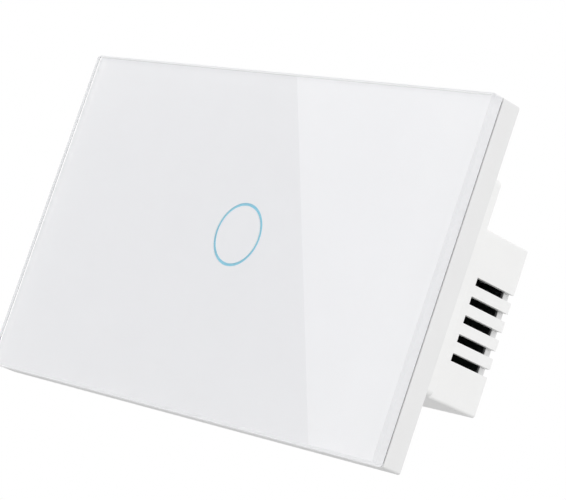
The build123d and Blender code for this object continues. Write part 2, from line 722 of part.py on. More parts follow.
def ring_lights():
    """Small lamps on the board under the light guide."""
    width, height, length = RING_LIGHT_SIZE
    limits = (TOUCH_BOARD_FRONT - height, TOUCH_BOARD_FRONT)
    places = [ring_place(i * 2 * pi / RING_LIGHT_COUNT) for i in range(RING_LIGHT_COUNT)]
    return group([block(span(x, width / 2), limits, span(z, length / 2)) for x, z in places])


def chip(place, size, legs, surface):
    """A flat chip in front of a board's surface, with legs on its two long sides."""
    x, z = place
    width, length, height = size
    body = block(span(x, width / 2), (surface - height, surface - CHIP_STAND_OFF), span(z, length / 2))
    solids = [chamfer(front_edges(body), CHIP_BEVEL)]
    for i in range(legs):
        middle = z + (i - (legs - 1) / 2) * length / legs
        for side in (-1, 1):
            foot = span(x + side * (width + CHIP_LEG_REACH) / 2, CHIP_LEG_REACH / 2)
            leg = (surface - CHIP_LEG_THICKNESS, surface)
            solids.append(block(foot, leg, span(middle, CHIP_LEG_HALF_WIDTH)))
    return group(solids)


def touch_chip():
    """Chip that reads the touch spring."""
    return chip(TOUCH_CHIP_PLACE, TOUCH_CHIP_SIZE, TOUCH_CHIP_LEGS, TOUCH_BOARD_FRONT)


def small_part(x, z, width, length, height):
    """A resistor or capacitor that lies on the touch board."""
    limits = (TOUCH_BOARD_FRONT - height, TOUCH_BOARD_FRONT)
    return block(span(x, width / 2), limits, span(z, length / 2))


def touch_board_parts():
    """A row of resistors, a column of capacitors and two larger capacitors on the touch board."""
    made = []
    for i in range(RESISTOR_ROW_COUNT):
        x, z = RESISTOR_ROW_START
        made.append(small_part(x + i * RESISTOR_ROW_PITCH, z, *RESISTOR_SIZE))
    for i in range(CAPACITOR_COLUMN_COUNT):
        x, z = CAPACITOR_COLUMN_START
        made.append(small_part(x, z + i * CAPACITOR_COLUMN_PITCH, *CAPACITOR_SIZE))
    made.append(small_part(*INPUT_CAPACITOR_PLACE, *INPUT_CAPACITOR_SIZE))
    made.append(small_part(*RADIO_CAPACITOR_PLACE, *RADIO_CAPACITOR_SIZE))
    return group(made)


def radio_board():
    """Small board of the radio module."""
    return block(RADIO_X, (TOUCH_BOARD_FRONT - RADIO_BOARD_THICKNESS, TOUCH_BOARD_FRONT), RADIO_Z)


def radio_shield():
    """Tin shield over the radio, short of the aerial end of its board."""
    surface = TOUCH_BOARD_FRONT - RADIO_BOARD_THICKNESS
    x = (RADIO_X[0] + SHIELD_INSET, RADIO_X[1] - SHIELD_INSET)
    z = (RADIO_Z[0] + SHIELD_INSET, RADIO_Z[1] - AERIAL_LENGTH)
    can = block(x, (surface - SHIELD_HEIGHT, surface), z)
    can = fillet(can.edges().filter_by(Axis.Y), SHIELD_CORNER)
    return fillet(front_edges(can), SHIELD_TOP_ROUND)


def power_board():
    """Mains board, notched at its corners so that it passes the front bosses."""
    limits = (POWER_BOARD_FRONT, POWER_BOARD_BACK)
    board = slab(POWER_BOARD_WIDTH, POWER_BOARD_HEIGHT, limits, POWER_BOARD_CORNER, BOX_MID)
    for x, z in corners(POWER_BOARD_WIDTH / 2, POWER_BOARD_HEIGHT / 2):
        side, up = nearest_corner(x, z)
        notch_x = sorted((x, x - side * BOARD_NOTCH))
        notch_z = sorted((z, z - up * BOARD_NOTCH))
        board -= block(notch_x, limits, notch_z)
    for x, z in corners(BOARD_POST_X, BOARD_POST_Z):
        board -= rod(x, z, BOARD_SCREW_RADIUS + HOLE_GAP, limits)
    for x in POLE_X:
        board -= block(span(x, BAR_HALF_WIDTH), limits, BAR_LEG_Z)
    return board


def leg_places():
    """Where the legs of the parts come through the power board."""
    places = list(RELAY_LEGS) + [(sum(POST_X) / 2, COIL_Z)]
    places += [(x, z) for x in PIN_RAIL_X for z in PIN_RAIL_Z]
    places += [(BULK_X, z + side * CAN_LEG) for z in BULK_Z for side in (-1, 1)]
    places += [(x, VARISTOR_Z) for x in VARISTOR_X] + [(x, FUSE_Z) for x in FUSE_X]
    return places + [(x, HEADER_Z) for x in pin_places()]


def solder_joints():
    """Solder domes behind the power board, where the parts' legs come through."""
    domes = []
    reach = SOLDER_RADIUS + SLACK
    for x, z in leg_places():
        behind = block(span(x, reach), (POWER_BOARD_BACK, POWER_BOARD_BACK + reach), span(z, reach))
        domes.append(Pos(x, POWER_BOARD_BACK, z) * Sphere(SOLDER_RADIUS) & behind)
    return group(domes)


def terminal_block():
    """Housing of three screw terminals, wires in from below and screws from behind."""
    limits = (POWER_BOARD_BACK, COVER_FRONT)
    housing = block(span(0, TERMINAL_HALF_WIDTH), limits, (TERMINAL_BOTTOM, TERMINAL_TOP))
    for x in POLE_X:
        housing -= block(span(x, CAGE_HALF_WIDTH + SLACK), (POWER_BOARD_BACK, TERMINAL_SHOULDER), CAGE_ROOM_Z)
        shoulder = (TERMINAL_SHOULDER, COVER_FRONT)
        housing -= rod(x, POLE_Z, TERMINAL_THREAD_RADIUS + HOLE_GAP, shoulder)
        seat = (TERMINAL_SHOULDER + TERMINAL_LEDGE, COVER_FRONT)
        housing -= rod(x, POLE_Z, TERMINAL_HEAD_RADIUS + SLACK, seat)
        housing -= block(span(x, WIRE_HOLE_WIDTH / 2), WIRE_HOLE_Y, (TERMINAL_BOTTOM, POLE_Z))
    for left, right in zip(POLE_X, POLE_X[1:]):
        groove = (TERMINAL_BOTTOM, TERMINAL_BOTTOM + TERMINAL_GROOVE)
        housing -= block(span((left + right) / 2, TERMINAL_GROOVE / 2), limits, groove)
    return housing


def terminal_bars():
    """Fixed brass bars that the cages press the wires against, each with a leg through the board."""
    bars = []
    for x in POLE_X:
        width = span(x, BAR_HALF_WIDTH)
        back = BAR_FRONT + BAR_THICKNESS
        flat = block(width, (BAR_FRONT, back), (BAR_END, BAR_LEG_Z[1]))
        bars.append(flat + block(width, (POWER_BOARD_FRONT - BAR_STUB, back), BAR_LEG_Z))
    return group(bars)


def terminal_cage(x):
    """Clamp cage that rises along the screw: a square loop with a threaded end."""
    length = span(POLE_Z, CAGE_LENGTH / 2)
    cage = block(span(x, CAGE_HALF_WIDTH), (CAGE_BOTTOM, CAGE_TOP), length)
    window = (CAGE_BOTTOM + CAGE_FLOOR, CAGE_TOP - CAGE_NUT)
    cage -= block(span(x, CAGE_HALF_WIDTH - CAGE_SIDE), window, length)
    return cage - rod(x, POLE_Z, TERMINAL_THREAD_RADIUS + THREAD_GAP, (CAGE_TOP - CAGE_NUT, CAGE_TOP))


def terminal_screw(x):
    """Terminal screw with a slot across its head, turned from behind."""
    seat = TERMINAL_SHOULDER + TERMINAL_LEDGE
    crown = seat + TERMINAL_HEAD_HEIGHT
    tip = CAGE_TOP - CAGE_NUT + FACE_GAP
    head = rod(x, POLE_Z, TERMINAL_HEAD_RADIUS, (seat, crown))
    body = chamfer(rear_edges(head), TERMINAL_HEAD_BEVEL)
    body += rod(x, POLE_Z, TERMINAL_THREAD_RADIUS, (tip, seat))
    across = span(x, TERMINAL_HEAD_RADIUS)
    return body - block(across, (crown - TERMINAL_SLOT_DEPTH, crown), span(POLE_Z, TERMINAL_SLOT_HALF))


def relay_base():
    """Base of the relay, with room for its legs."""
    inset = RELAY_WALL + FACE_GAP
    limits = above(RELAY_STAND_OFF, RELAY_BASE_TOP)
    base = block((RELAY_X[0] + inset, RELAY_X[1] - inset), limits, (RELAY_Z[0] + inset, RELAY_Z[1] - inset))
    for x, z in RELAY_LEGS:
        base -= rod(x, z, RELAY_LEG_RADIUS + THREAD_GAP, limits)
    return base - contact_post(RELAY_STAND_OFF, RELAY_BASE_TOP)


def relay_cover():
    """Closed cover over the relay."""
    cover = block(RELAY_X, above(RELAY_STAND_OFF, RELAY_HEIGHT), RELAY_Z)
    cover = fillet(cover.edges().filter_by(Axis.Y), RELAY_SIDE_ROUND)
    cover = fillet(front_edges(cover), RELAY_TOP_ROUND)
    x = (RELAY_X[0] + RELAY_WALL, RELAY_X[1] - RELAY_WALL)
    z = (RELAY_Z[0] + RELAY_WALL, RELAY_Z[1] - RELAY_WALL)
    return cover - block(x, above(RELAY_STAND_OFF, RELAY_HEIGHT - RELAY_WALL), z)


def relay_legs():
    """Round legs that stand the relay on the board."""
    return group([rod(x, z, RELAY_LEG_RADIUS, above(0, RELAY_BASE_TOP)) for x, z in RELAY_LEGS])


def relay_bobbin():
    """Plastic bobbin: a tube with two square flanges."""
    x = span(COIL_X, BOBBIN_HALF)
    z = span(COIL_Z, BOBBIN_HALF)
    body = block(x, above(BOBBIN_BOTTOM, BOBBIN_BOTTOM + BOBBIN_FLANGE), z)
    body += block(x, above(BOBBIN_TOP - BOBBIN_FLANGE, BOBBIN_TOP), z)
    body += rod(COIL_X, COIL_Z, CORE_RADIUS + BOBBIN_TUBE, above(BOBBIN_BOTTOM, BOBBIN_TOP))
    return body - rod(COIL_X, COIL_Z, CORE_RADIUS + THREAD_GAP, above(BOBBIN_BOTTOM, BOBBIN_TOP))


def relay_coil():
    """Copper winding on the bobbin."""
    limits = above(BOBBIN_BOTTOM + BOBBIN_FLANGE, BOBBIN_TOP - BOBBIN_FLANGE)
    winding = rod(COIL_X, COIL_Z, BOBBIN_HALF - SLACK, limits)
    return winding - rod(COIL_X, COIL_Z, CORE_RADIUS + BOBBIN_TUBE + THREAD_GAP, limits)


def relay_core():
    """Iron core with its pole face."""
    under_face = BOBBIN_TOP + FACE_GAP
    core = rod(COIL_X, COIL_Z, CORE_RADIUS, above(RELAY_BASE_TOP + YOKE_THICKNESS, under_face))
    return core + rod(COIL_X, COIL_Z, POLE_FACE_RADIUS, above(under_face, POLE_FACE_TOP))


def relay_yoke():
    """Bent iron yoke: under the coil and up behind it to the armature's edge."""
    width = span(COIL_Z, YOKE_HALF_WIDTH)
    edge = ARMATURE_X[0] - 2 * FACE_GAP
    foot = above(RELAY_BASE_TOP, RELAY_BASE_TOP + YOKE_THICKNESS)
    yoke = block((edge, COIL_X + BOBBIN_HALF), foot, width)
    return yoke + block((edge, edge + YOKE_THICKNESS), above(RELAY_BASE_TOP, YOKE_TOP), width)


def relay_armature():
    """Iron plate that the coil pulls down on its pole face."""
    limits = above(ARMATURE_BOTTOM, ARMATURE_BOTTOM + ARMATURE_THICKNESS)
    return block(ARMATURE_X, limits, span(COIL_Z, ARMATURE_HALF_WIDTH))


def relay_leaf():
    """Spring leaf on the armature, with the moving contact at its end."""
    under = ARMATURE_BOTTOM + ARMATURE_THICKNESS
    reach = (LEAF_START, CONTACT_X + LEAF_END_RADIUS + FACE_GAP)
    leaf = block(reach, above(under, under + LEAF_THICKNESS), span(COIL_Z, LEAF_HALF_WIDTH))
    leaf = fillet(leaf.edges().filter_by(Axis.Y).sort_by(Axis.X)[-2:], LEAF_END_RADIUS)
    return leaf + rod(CONTACT_X, COIL_Z, CONTACT_RADIUS, above(under - CONTACT_THICKNESS, under))


def contact_post(low, high):
    """The upright part of the fixed contact."""
    return block(POST_X, above(low, high), span(COIL_Z, STRIP_HALF_WIDTH))


def relay_fixed_contact():
    """Fixed contact on its brass strip, which runs down to the board."""
    face = ARMATURE_BOTTOM + ARMATURE_THICKNESS - CONTACT_THICKNESS - CONTACT_GAP
    shelf = face - CONTACT_THICKNESS
    reach = (CONTACT_X - CONTACT_RADIUS - SLACK, POST_X[1])
    strip = contact_post(0, shelf)
    strip += block(reach, above(shelf - STRIP_THICKNESS, shelf), span(COIL_Z, STRIP_HALF_WIDTH))
    return strip + rod(CONTACT_X, COIL_Z, CONTACT_RADIUS, above(shelf, face))


def spool_tube(room=0.0):
    """Half sizes of the transformer bobbin's tube, over the ferrite's centre leg with a sliding gap."""
    return (CENTRE_LEG_HALF_X + THREAD_GAP + room, FERRITE_HALF_Z + THREAD_GAP + room)


def transformer_block(half_x, half_z, low, high):
    """A block round the transformer's own axis, between two heights."""
    return block(span(TRANSFORMER_X, half_x), above(low, high), span(TRANSFORMER_Z, half_z))


def transformer_core():
    """Two ferrite halves that close round the bobbin, with a leg through it."""
    core = transformer_block(FERRITE_HALF_X, FERRITE_HALF_Z, *FERRITE_HEIGHTS)
    core -= transformer_block(WINDOW_HALF_X, FERRITE_HALF_Z, *WINDOW_HEIGHTS)
    return core + transformer_block(CENTRE_LEG_HALF_X, FERRITE_HALF_Z, *WINDOW_HEIGHTS)


def transformer_bobbin():
    """Bobbin with two flanges on a tube, and its pin rail on the board."""
    low = WINDOW_HEIGHTS[0] + FACE_GAP
    high = WINDOW_HEIGHTS[1] - FACE_GAP
    bobbin = transformer_block(PIN_RAIL_HALF_X, PIN_RAIL_HALF_Z, 0, PIN_RAIL_HEIGHT)
    posts = transformer_block(SPOOL_HALF_X, SPOOL_HALF_Z, PIN_RAIL_HEIGHT, low)
    bobbin += posts - transformer_block(SPOOL_HALF_X, FERRITE_HALF_Z + SLACK, PIN_RAIL_HEIGHT, low)
    bobbin += transformer_block(SPOOL_HALF_X, SPOOL_HALF_Z, low, low + SPOOL_FLANGE)
    bobbin += transformer_block(SPOOL_HALF_X, SPOOL_HALF_Z, high - SPOOL_FLANGE, high)
    bobbin += transformer_block(*spool_tube(SPOOL_TUBE), low, high)
    return bobbin - transformer_block(*spool_tube(), low, high)


def transformer_winding():
    """Taped winding between the flanges."""
    low = WINDOW_HEIGHTS[0] + FACE_GAP + SPOOL_FLANGE
    high = WINDOW_HEIGHTS[1] - FACE_GAP - SPOOL_FLANGE
    winding = transformer_block(SPOOL_HALF_X, WINDING_HALF_Z, low, high)
    winding = fillet(winding.edges().filter_by(Axis.Y), WINDING_CORNER)
    return winding - transformer_block(*spool_tube(SPOOL_TUBE), low, high)


def can_capacitor(x, z, radius, height):
    """Upright can with a groove near its foot."""
    can = rod(x, z, radius, above(CAN_STAND_OFF, height))
    groove = rod(x, z, radius, above(*CAN_GROOVE_HEIGHTS))
    groove -= rod(x, z, radius - CAN_GROOVE_DEPTH, above(*CAN_GROOVE_HEIGHTS))
    can = fillet(front_edges(can), CAN_TOP_ROUND) - groove
    for side in (-1, 1):
        can += rod(x, z + side * CAN_LEG, CAN_LEG_RADIUS, above(0, CAN_STAND_OFF))
    return can


def bulk_capacitors():
    """Two can capacitors of the mains supply."""
    return group([can_capacitor(BULK_X, z, BULK_RADIUS, BULK_HEIGHT) for z in BULK_Z])


def output_capacitor():
    """Small can capacitor on the low-voltage side."""
    return can_capacitor(*OUTPUT_CAN, OUTPUT_CAN_RADIUS, OUTPUT_CAN_HEIGHT)


def film_capacitor():
    """Boxed film capacitor across the mains."""
    body = block(FILM_X, above(*FILM_HEIGHTS), FILM_Z)
    body = fillet(body.edges().filter_by(Axis.Y), FILM_CORNER)
    for x in (FILM_X[0] + FILM_LEG_INSET, FILM_X[1] - FILM_LEG_INSET):
        body += rod(x, sum(FILM_Z) / 2, WIRE_RADIUS, above(0, FILM_HEIGHTS[0]))
    return body


def varistor():
    """Round disc on two wires."""
    middle = Pos(sum(VARISTOR_X) / 2, POWER_BOARD_FRONT - VARISTOR_HEIGHT, VARISTOR_Z)
    disc = middle * Cylinder(VARISTOR_RADIUS, VARISTOR_THICKNESS)
    disc = fillet(disc.edges().filter_by(GeomType.CIRCLE), VARISTOR_ROUND)
    for x in VARISTOR_X:
        disc += rod(x, VARISTOR_Z, WIRE_RADIUS, above(0, VARISTOR_HEIGHT - VARISTOR_RADIUS / 2))
    return disc


def fuse_resistor():
    """Fusible resistor lying on the board, its wires bent down at both ends."""
    middle = Pos(sum(FUSE_X) / 2, POWER_BOARD_FRONT - FUSE_HEIGHT, FUSE_Z) * Rot(0, 90, 0)
    body = middle * Cylinder(FUSE_RADIUS, FUSE_LENGTH)
    body = fillet(body.edges().filter_by(GeomType.CIRCLE), FUSE_ROUND)
    body += middle * Cylinder(WIRE_RADIUS, FUSE_X[1] - FUSE_X[0] + FUSE_WIRE_SPARE)
    for x in FUSE_X:
        body += rod(x, FUSE_Z, FUSE_LEG_RADIUS, above(0, FUSE_HEIGHT))
    return body


def bridge_rectifier():
    """Flat four-legged rectifier."""
    return chip(RECTIFIER_PLACE, RECTIFIER_SIZE, RECTIFIER_LEGS, POWER_BOARD_FRONT)


def converter_chip():
    """Chip that runs the mains supply."""
    return chip(CONVERTER_PLACE, CONVERTER_SIZE, CONVERTER_LEGS, POWER_BOARD_FRONT)


def nodes():
    """Every piece by name."""
    pieces = [
        glass_panel, print_mask, glass_adhesive, panel_frame,
        mounting_plate, panel_clips, case_screws,
        touch_board, touch_spring, ring_light_guide, ring_lights, touch_chip, touch_board_parts,
        radio_board, radio_shield, header_strip, header_pins, header_socket,
        rear_box, rear_cover, cover_screws, insulation_sheet,
        power_board, board_screws, solder_joints, terminal_block, terminal_bars,
        relay_base, relay_cover, relay_legs, relay_bobbin, relay_coil, relay_core, relay_yoke,
        relay_armature, relay_leaf, relay_fixed_contact,
        transformer_core, transformer_bobbin, transformer_winding,
        bulk_capacitors, output_capacitor, film_capacitor, varistor, fuse_resistor,
        bridge_rectifier, converter_chip,
    ]
    made = {piece.__name__: piece() for piece in pieces}
    for number, x in enumerate(POLE_X, start=1):
        made[f"terminal_screw_{number}"] = terminal_screw(x)
        made[f"terminal_cage_{number}"] = terminal_cage(x)
    return made


os.makedirs("parts", exist_ok=True)
for name, shape in nodes().items():
    export_step(shape, f"parts/{name}.step")
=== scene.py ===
"""Looks of a one-gang smart light switch with a glass touch panel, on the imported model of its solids.

Lengths are metres. +X is to the right of the panel, +Y goes into the wall and +Z is up.
"""

import json
import logging
from dataclasses import dataclass
from enum import Enum
from math import pi, radians
from typing import Callable, Sequence

import bmesh
import bpy
from mathutils import Matrix, Vector


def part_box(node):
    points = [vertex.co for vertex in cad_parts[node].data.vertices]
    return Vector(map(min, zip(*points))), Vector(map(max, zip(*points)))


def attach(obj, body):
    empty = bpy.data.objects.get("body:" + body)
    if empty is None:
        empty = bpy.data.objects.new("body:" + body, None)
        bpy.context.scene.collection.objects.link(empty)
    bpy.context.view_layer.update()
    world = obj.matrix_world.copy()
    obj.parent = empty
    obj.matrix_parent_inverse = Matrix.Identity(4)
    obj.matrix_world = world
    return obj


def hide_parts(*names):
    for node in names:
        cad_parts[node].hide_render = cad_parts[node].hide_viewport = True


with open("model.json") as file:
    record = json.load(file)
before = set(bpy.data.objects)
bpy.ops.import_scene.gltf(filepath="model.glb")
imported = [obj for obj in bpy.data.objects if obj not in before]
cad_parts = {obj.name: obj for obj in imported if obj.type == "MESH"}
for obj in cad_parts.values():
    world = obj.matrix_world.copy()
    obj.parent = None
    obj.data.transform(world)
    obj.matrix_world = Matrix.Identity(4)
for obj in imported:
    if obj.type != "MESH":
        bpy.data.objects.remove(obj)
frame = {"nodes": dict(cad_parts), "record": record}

log = logging.getLogger("light_switch")

MM = 0.001
SAME_POINT = 0.0005 * MM
SMOOTH_ANGLE = 35.0
WINDING_STEPS = 24
MIX_COLOUR_INPUTS = (0, 6, 7)
MIX_COLOUR_OUTPUT = 2

Colour = tuple[float, float, float]
Point = tuple[float, float]
Box = tuple[Vector, Vector]
Shape = bpy.types.Object
Socket = bpy.types.NodeSocket


class Graph:
    """The shader graph of a material or of the world, around its one shader."""

    def __init__(self, holder: bpy.types.ID, shader: str = "Principled BSDF") -> None:
        """Starts the graph.

        Args:
            holder: the material or world.
            shader: the name of its shader.
        """
        holder.use_nodes = True
        self.material = holder
        self.tree = holder.node_tree
        self.shader = self.tree.nodes[shader]

    def add(self, kind: str, inputs: dict | None = None, **settings: object) -> bpy.types.Node:
        """Adds a node.

        Args:
            kind: Blender's name for the node.
            inputs: what each of its inputs is linked to, or its plain value.
            settings: what the node's own options are set to.

        Returns:
            The new node.
        """
        node = self.tree.nodes.new(kind)
        for name, value in settings.items():
            setattr(node, name, value)
        for name, value in (inputs or {}).items():
            if isinstance(value, Socket):
                self.join(value, node.inputs[name])
            else:
                node.inputs[name].default_value = value
        return node

    def join(self, source: Socket, target: Socket) -> None:
        """Links an output to an input."""
        self.tree.links.new(source, target)

    def set(self, **values: object) -> None:
        """Sets the shader's own sockets, with an underscore for each space in their names."""
        for name, value in values.items():
            socket = self.shader.inputs[name.replace("_", " ")]
            socket.default_value = (*value, 1.0) if isinstance(value, tuple) else value

    def place(self) -> Socket:
        """Object coordinates."""
        return self.add("ShaderNodeTexCoord").outputs["Object"]

    def noise(self, size: float, detail: float = 3.0, stretch: Sequence[float] = (1, 1, 1)) -> Socket:
        """A noise pattern.

        Args:
            size: how large its features are, in metres.
            detail: how many finer layers it has.
            stretch: the scale along X, Y and Z.

        Returns:
            Its value, from 0 to 1.
        """
        inputs = {"Vector": self.place(), "Scale": stretch}
        stretched = self.add("ShaderNodeMapping", inputs).outputs["Vector"]
        inputs = {"Vector": stretched, "Scale": 1 / size, "Detail": detail}
        return self.add("ShaderNodeTexNoise", inputs).outputs["Fac"]

    def work_out(self, operation: str, *values: Socket | float) -> Socket:
        """Works out a value from others, by Blender's name for the sum."""
        return self.add("ShaderNodeMath", dict(enumerate(values)), operation=operation).outputs[0]

    def spread(self, value: Socket, way: str, low: float, high: float, **settings: object) -> Socket:
        """Spreads a value between the limits that it comes From or goes To."""
        inputs = {"Value": value, f"{way} Min": low, f"{way} Max": high}
        return self.add("ShaderNodeMapRange", inputs, **settings).outputs["Result"]

    def ramp(self, value: Socket, colour: Colour, tints: Point, places: Point = (0.3, 0.7)) -> Socket:
        """Turns a pattern into a colour.

        Args:
            value: the pattern.
            colour: the colour.
            tints: how dark and how light it gets, as shares.
            places: where the pattern is darkest and lightest.

        Returns:
            The colour.
        """
        node = self.add("ShaderNodeValToRGB", {"Fac": value})
        for element, tint, place in zip(node.color_ramp.elements, tints, places):
            element.position = place
            element.color = (*(min(1.0, part * tint) for part in colour), 1.0)
        return node.outputs["Color"]

    def paint(self, value: Socket, colour: Colour, tints: Point, places: Point = (0.3, 0.7)) -> None:
        """Colours the surface by a pattern, as ramp does."""
        self.join(self.ramp(value, colour, tints, places), self.shader.inputs["Base Color"])

    def roughen(self, value: Socket, low: float, high: float) -> None:
        """Sets the roughness by a pattern, from low to high."""
        self.join(self.spread(value, "To", low, high), self.shader.inputs["Roughness"])

    def relief(self, height: Socket, depth: float, strength: float) -> None:
        """Roughs the surface by a height pattern, so deep in metres and so strongly."""
        bump = self.add("ShaderNodeBump", {"Height": height, "Distance": depth, "Strength": strength})
        self.join(bump.outputs["Normal"], self.shader.inputs["Normal"])

    def mixed(self, share: Socket, plain: Colour, other: Socket) -> Socket:
        """Mixes this share of another colour over a plain one."""
        inputs = dict(zip(MIX_COLOUR_INPUTS, (share, (*plain, 1.0), other)))
        return self.add("ShaderNodeMix", inputs, data_type="RGBA").outputs[MIX_COLOUR_OUTPUT]

    def blend(self, share: Socket, first: Socket, second: Socket) -> Socket:
        """Blends two shaders, with this share of the second one."""
        return self.add("ShaderNodeMixShader", dict(enumerate((share, first, second)))).outputs[0]

    def shown(self) -> Socket:
        """1 for the rays that show a surface, straight or by gloss or glass, and 0 for the others."""
        path = self.add("ShaderNodeLightPath").outputs
        either = self.work_out("MAXIMUM", path["Is Camera Ray"], path["Is Glossy Ray"])
        return self.work_out("MAXIMUM", either, path["Is Transmission Ray"])


@dataclass(frozen=True)
class Moulded:
    """Moulded plastic with a fine spark-eroded skin."""

    name: str
    colour: Colour
    roughness: float = 0.42
    grain: float = 0.00025
    depth: float = 0.000012
    mottle: float = 0.012
    cloud: float = 0.012
    patch: float = 0.003
    uneven: float = 0.04

    def dress(self, graph: Graph) -> None:
        """Fills in the material's graph."""
        graph.paint(graph.noise(self.cloud), self.colour, (1 - self.mottle, 1 + self.mottle))
        graph.roughen(graph.noise(self.patch), self.roughness - self.uneven, self.roughness + self.uneven)
        graph.relief(graph.noise(self.grain, 4.0), self.depth, 0.6)


@dataclass(frozen=True)
class ClearGlass:
    """Clear float glass with a faint green tint, polished in front and finely ground at its edges."""

    name: str
    colour: Colour
    cloud: float = 0.03
    ground_roughness: float = 0.3
    flat_share: float = 0.95
    refraction: float = 1.5

    def dress(self, graph: Graph) -> None:
        """Fills in the material's graph."""
        graph.paint(graph.noise(self.cloud), self.colour, (0.995, 1.0), (0.0, 1.0))
        normal = graph.add("ShaderNodeNewGeometry").outputs["True Normal"]
        across = graph.add("ShaderNodeSeparateXYZ", {"Vector": normal}).outputs["Y"]
        ground = graph.work_out("LESS_THAN", graph.work_out("ABSOLUTE", across), self.flat_share)
        graph.roughen(ground, 0.0, self.ground_roughness)
        graph.set(IOR=self.refraction, Transmission_Weight=1.0)


@dataclass(frozen=True)
class Metal:
    """Plated or plain metal with fine drawn lines."""

    name: str
    colour: Colour
    roughness: float = 0.3
    drawn: tuple[float, float, float] = (1.0, 0.06, 1.0)
    line: float = 0.00012
    smear: float = 0.0006
    depth: float = 0.000004

    def dress(self, graph: Graph) -> None:
        """Fills in the material's graph."""
        lines = graph.noise(self.line, 4.0, self.drawn)
        graph.paint(lines, self.colour, (0.86, 1.06), (0.25, 0.75))
        graph.roughen(graph.noise(self.smear, 5.0), self.roughness - 0.08, self.roughness + 0.1)
        graph.set(Metallic=1.0)
        graph.relief(lines, self.depth, 0.4)


@dataclass(frozen=True)
class LitResin:
    """Milky resin that glows from the lamps behind it."""

    name: str
    colour: Colour
    glow: Colour
    strength: float
    roughness: float = 0.35
    cloud: float = 0.004
    grain: float = 0.0003
    depth: float = 0.000004

    def dress(self, graph: Graph) -> None:
        """Fills in the material's graph."""
        graph.paint(graph.noise(self.cloud), self.colour, (0.95, 1.05))
        graph.set(Roughness=self.roughness, Emission_Color=self.glow, Emission_Strength=self.strength)
        graph.relief(graph.noise(self.grain), self.depth, 0.4)


FINISHES = (
    ClearGlass("clear_glass", (0.991, 0.995, 0.993)),
    Moulded("white_enamel", (0.911, 0.911, 0.923), 0.3, 0.0002, 0.000003, 0.004),
    Moulded("dark_adhesive", (0.09, 0.09, 0.1), 0.8, 0.0002, 0.00003, 0.2),
    Moulded("white_plastic", (0.87, 0.87, 0.865)),
    Moulded("frame_plastic", (0.8, 0.8, 0.8)),
    Moulded("pale_plastic", (0.72, 0.72, 0.72)),
    LitResin("blue_light", (0.15, 0.48, 0.62), (0.1, 0.49, 0.72), 0.15),
    LitResin("lamp_resin", (0.85, 0.82, 0.55), (0.4, 0.7, 1.0), 0.5),
    Moulded("green_board", (0.03, 0.2, 0.09), 0.3, 0.0006, 0.00002, 0.12),
    Moulded("lacquered_track", (0.07, 0.36, 0.17), 0.3, 0.0006, 0.00001, 0.06),
    Moulded("sleeve_stripe", (0.55, 0.55, 0.5), 0.3),
    Moulded("dark_board", (0.02, 0.04, 0.12), 0.3, 0.0006, 0.00002, 0.12),
    Moulded("black_plastic", (0.025, 0.025, 0.027), 0.45),
    Moulded("ceramic", (0.42, 0.32, 0.22), 0.4, 0.0001),
    Metal("tin_plate", (0.75, 0.75, 0.76), 0.25),
    Metal("spring_steel", (0.6, 0.6, 0.62), 0.22),
    Metal("screw_steel", (0.68, 0.68, 0.7), 0.28, (1.0, 1.0, 1.0)),
    Metal("brass", (0.76, 0.57, 0.25), 0.28),
    Metal("copper_wire", (0.68, 0.3, 0.14), 0.3, (0.05, 1.0, 0.05)),
    Metal("relay_iron", (0.52, 0.52, 0.54), 0.35),
    Moulded("ferrite", (0.06, 0.06, 0.065), 0.6, 0.0003, 0.00003, 0.15),
    Moulded("terminal_plastic", (0.04, 0.26, 0.15), 0.4),
    Moulded("relay_plastic", (0.02, 0.07, 0.26), 0.35),
    Moulded("bobbin_plastic", (0.8, 0.75, 0.62), 0.4),
    Moulded("yellow_tape", (0.8, 0.6, 0.08), 0.25),
    Moulded("can_sleeve", (0.03, 0.03, 0.06), 0.25),
    Moulded("film_case", (0.75, 0.55, 0.06), 0.35),
    Moulded("blue_resin", (0.03, 0.14, 0.42), 0.2),
    Moulded("green_resin", (0.25, 0.45, 0.36), 0.25),
    Moulded("dark_sheet", (0.02, 0.02, 0.022), 0.35),
)
OWN_FINISHES = {"panel_frame": "frame_plastic"}


def clear_selection() -> None:
    """Leaves nothing selected."""
    bpy.ops.object.select_all(action="DESELECT")


def pick(shape: Shape) -> None:
    """Makes a shape the active object, and the only selected one."""
    clear_selection()
    shape.select_set(True)
    bpy.context.view_layer.objects.active = shape


def settle() -> None:
    """Puts the selected object's place, turn and scale into its mesh."""
    bpy.ops.object.transform_apply(location=True, rotation=True, scale=True)


def select_mesh() -> None:
    """Selects the whole mesh that is being edited."""
    bpy.ops.mesh.select_all(action="SELECT")


def edit() -> None:
    """Starts to edit the active object's mesh, with all of it selected."""
    bpy.ops.object.mode_set(mode="EDIT")
    select_mesh()


def leave_edit() -> None:
    """Goes back to object mode."""
    bpy.ops.object.mode_set(mode="OBJECT")


def edit_only(kind: str, test: Callable[[bpy.types.bpy_struct], bool]) -> None:
    """Starts to edit the active object's mesh, with some of its edges or faces selected.

    Args:
        kind: edges or polygons.
        test: says which of them.
    """
    edit()
    bpy.ops.mesh.select_all(action="DESELECT")
    leave_edit()
    for part in getattr(bpy.context.active_object.data, kind):
        part.select = test(part)
    bpy.ops.object.mode_set(mode="EDIT")


def push(way: Sequence[float]) -> None:
    """Extrudes the selected part of the mesh that is being edited."""
    bpy.ops.mesh.extrude_region_move(TRANSFORM_OT_translate={"value": way})


def smooth() -> None:
    """Shades the active object smooth, apart from its real edges."""
    bpy.ops.object.shade_smooth_by_angle(angle=radians(SMOOTH_ANGLE))


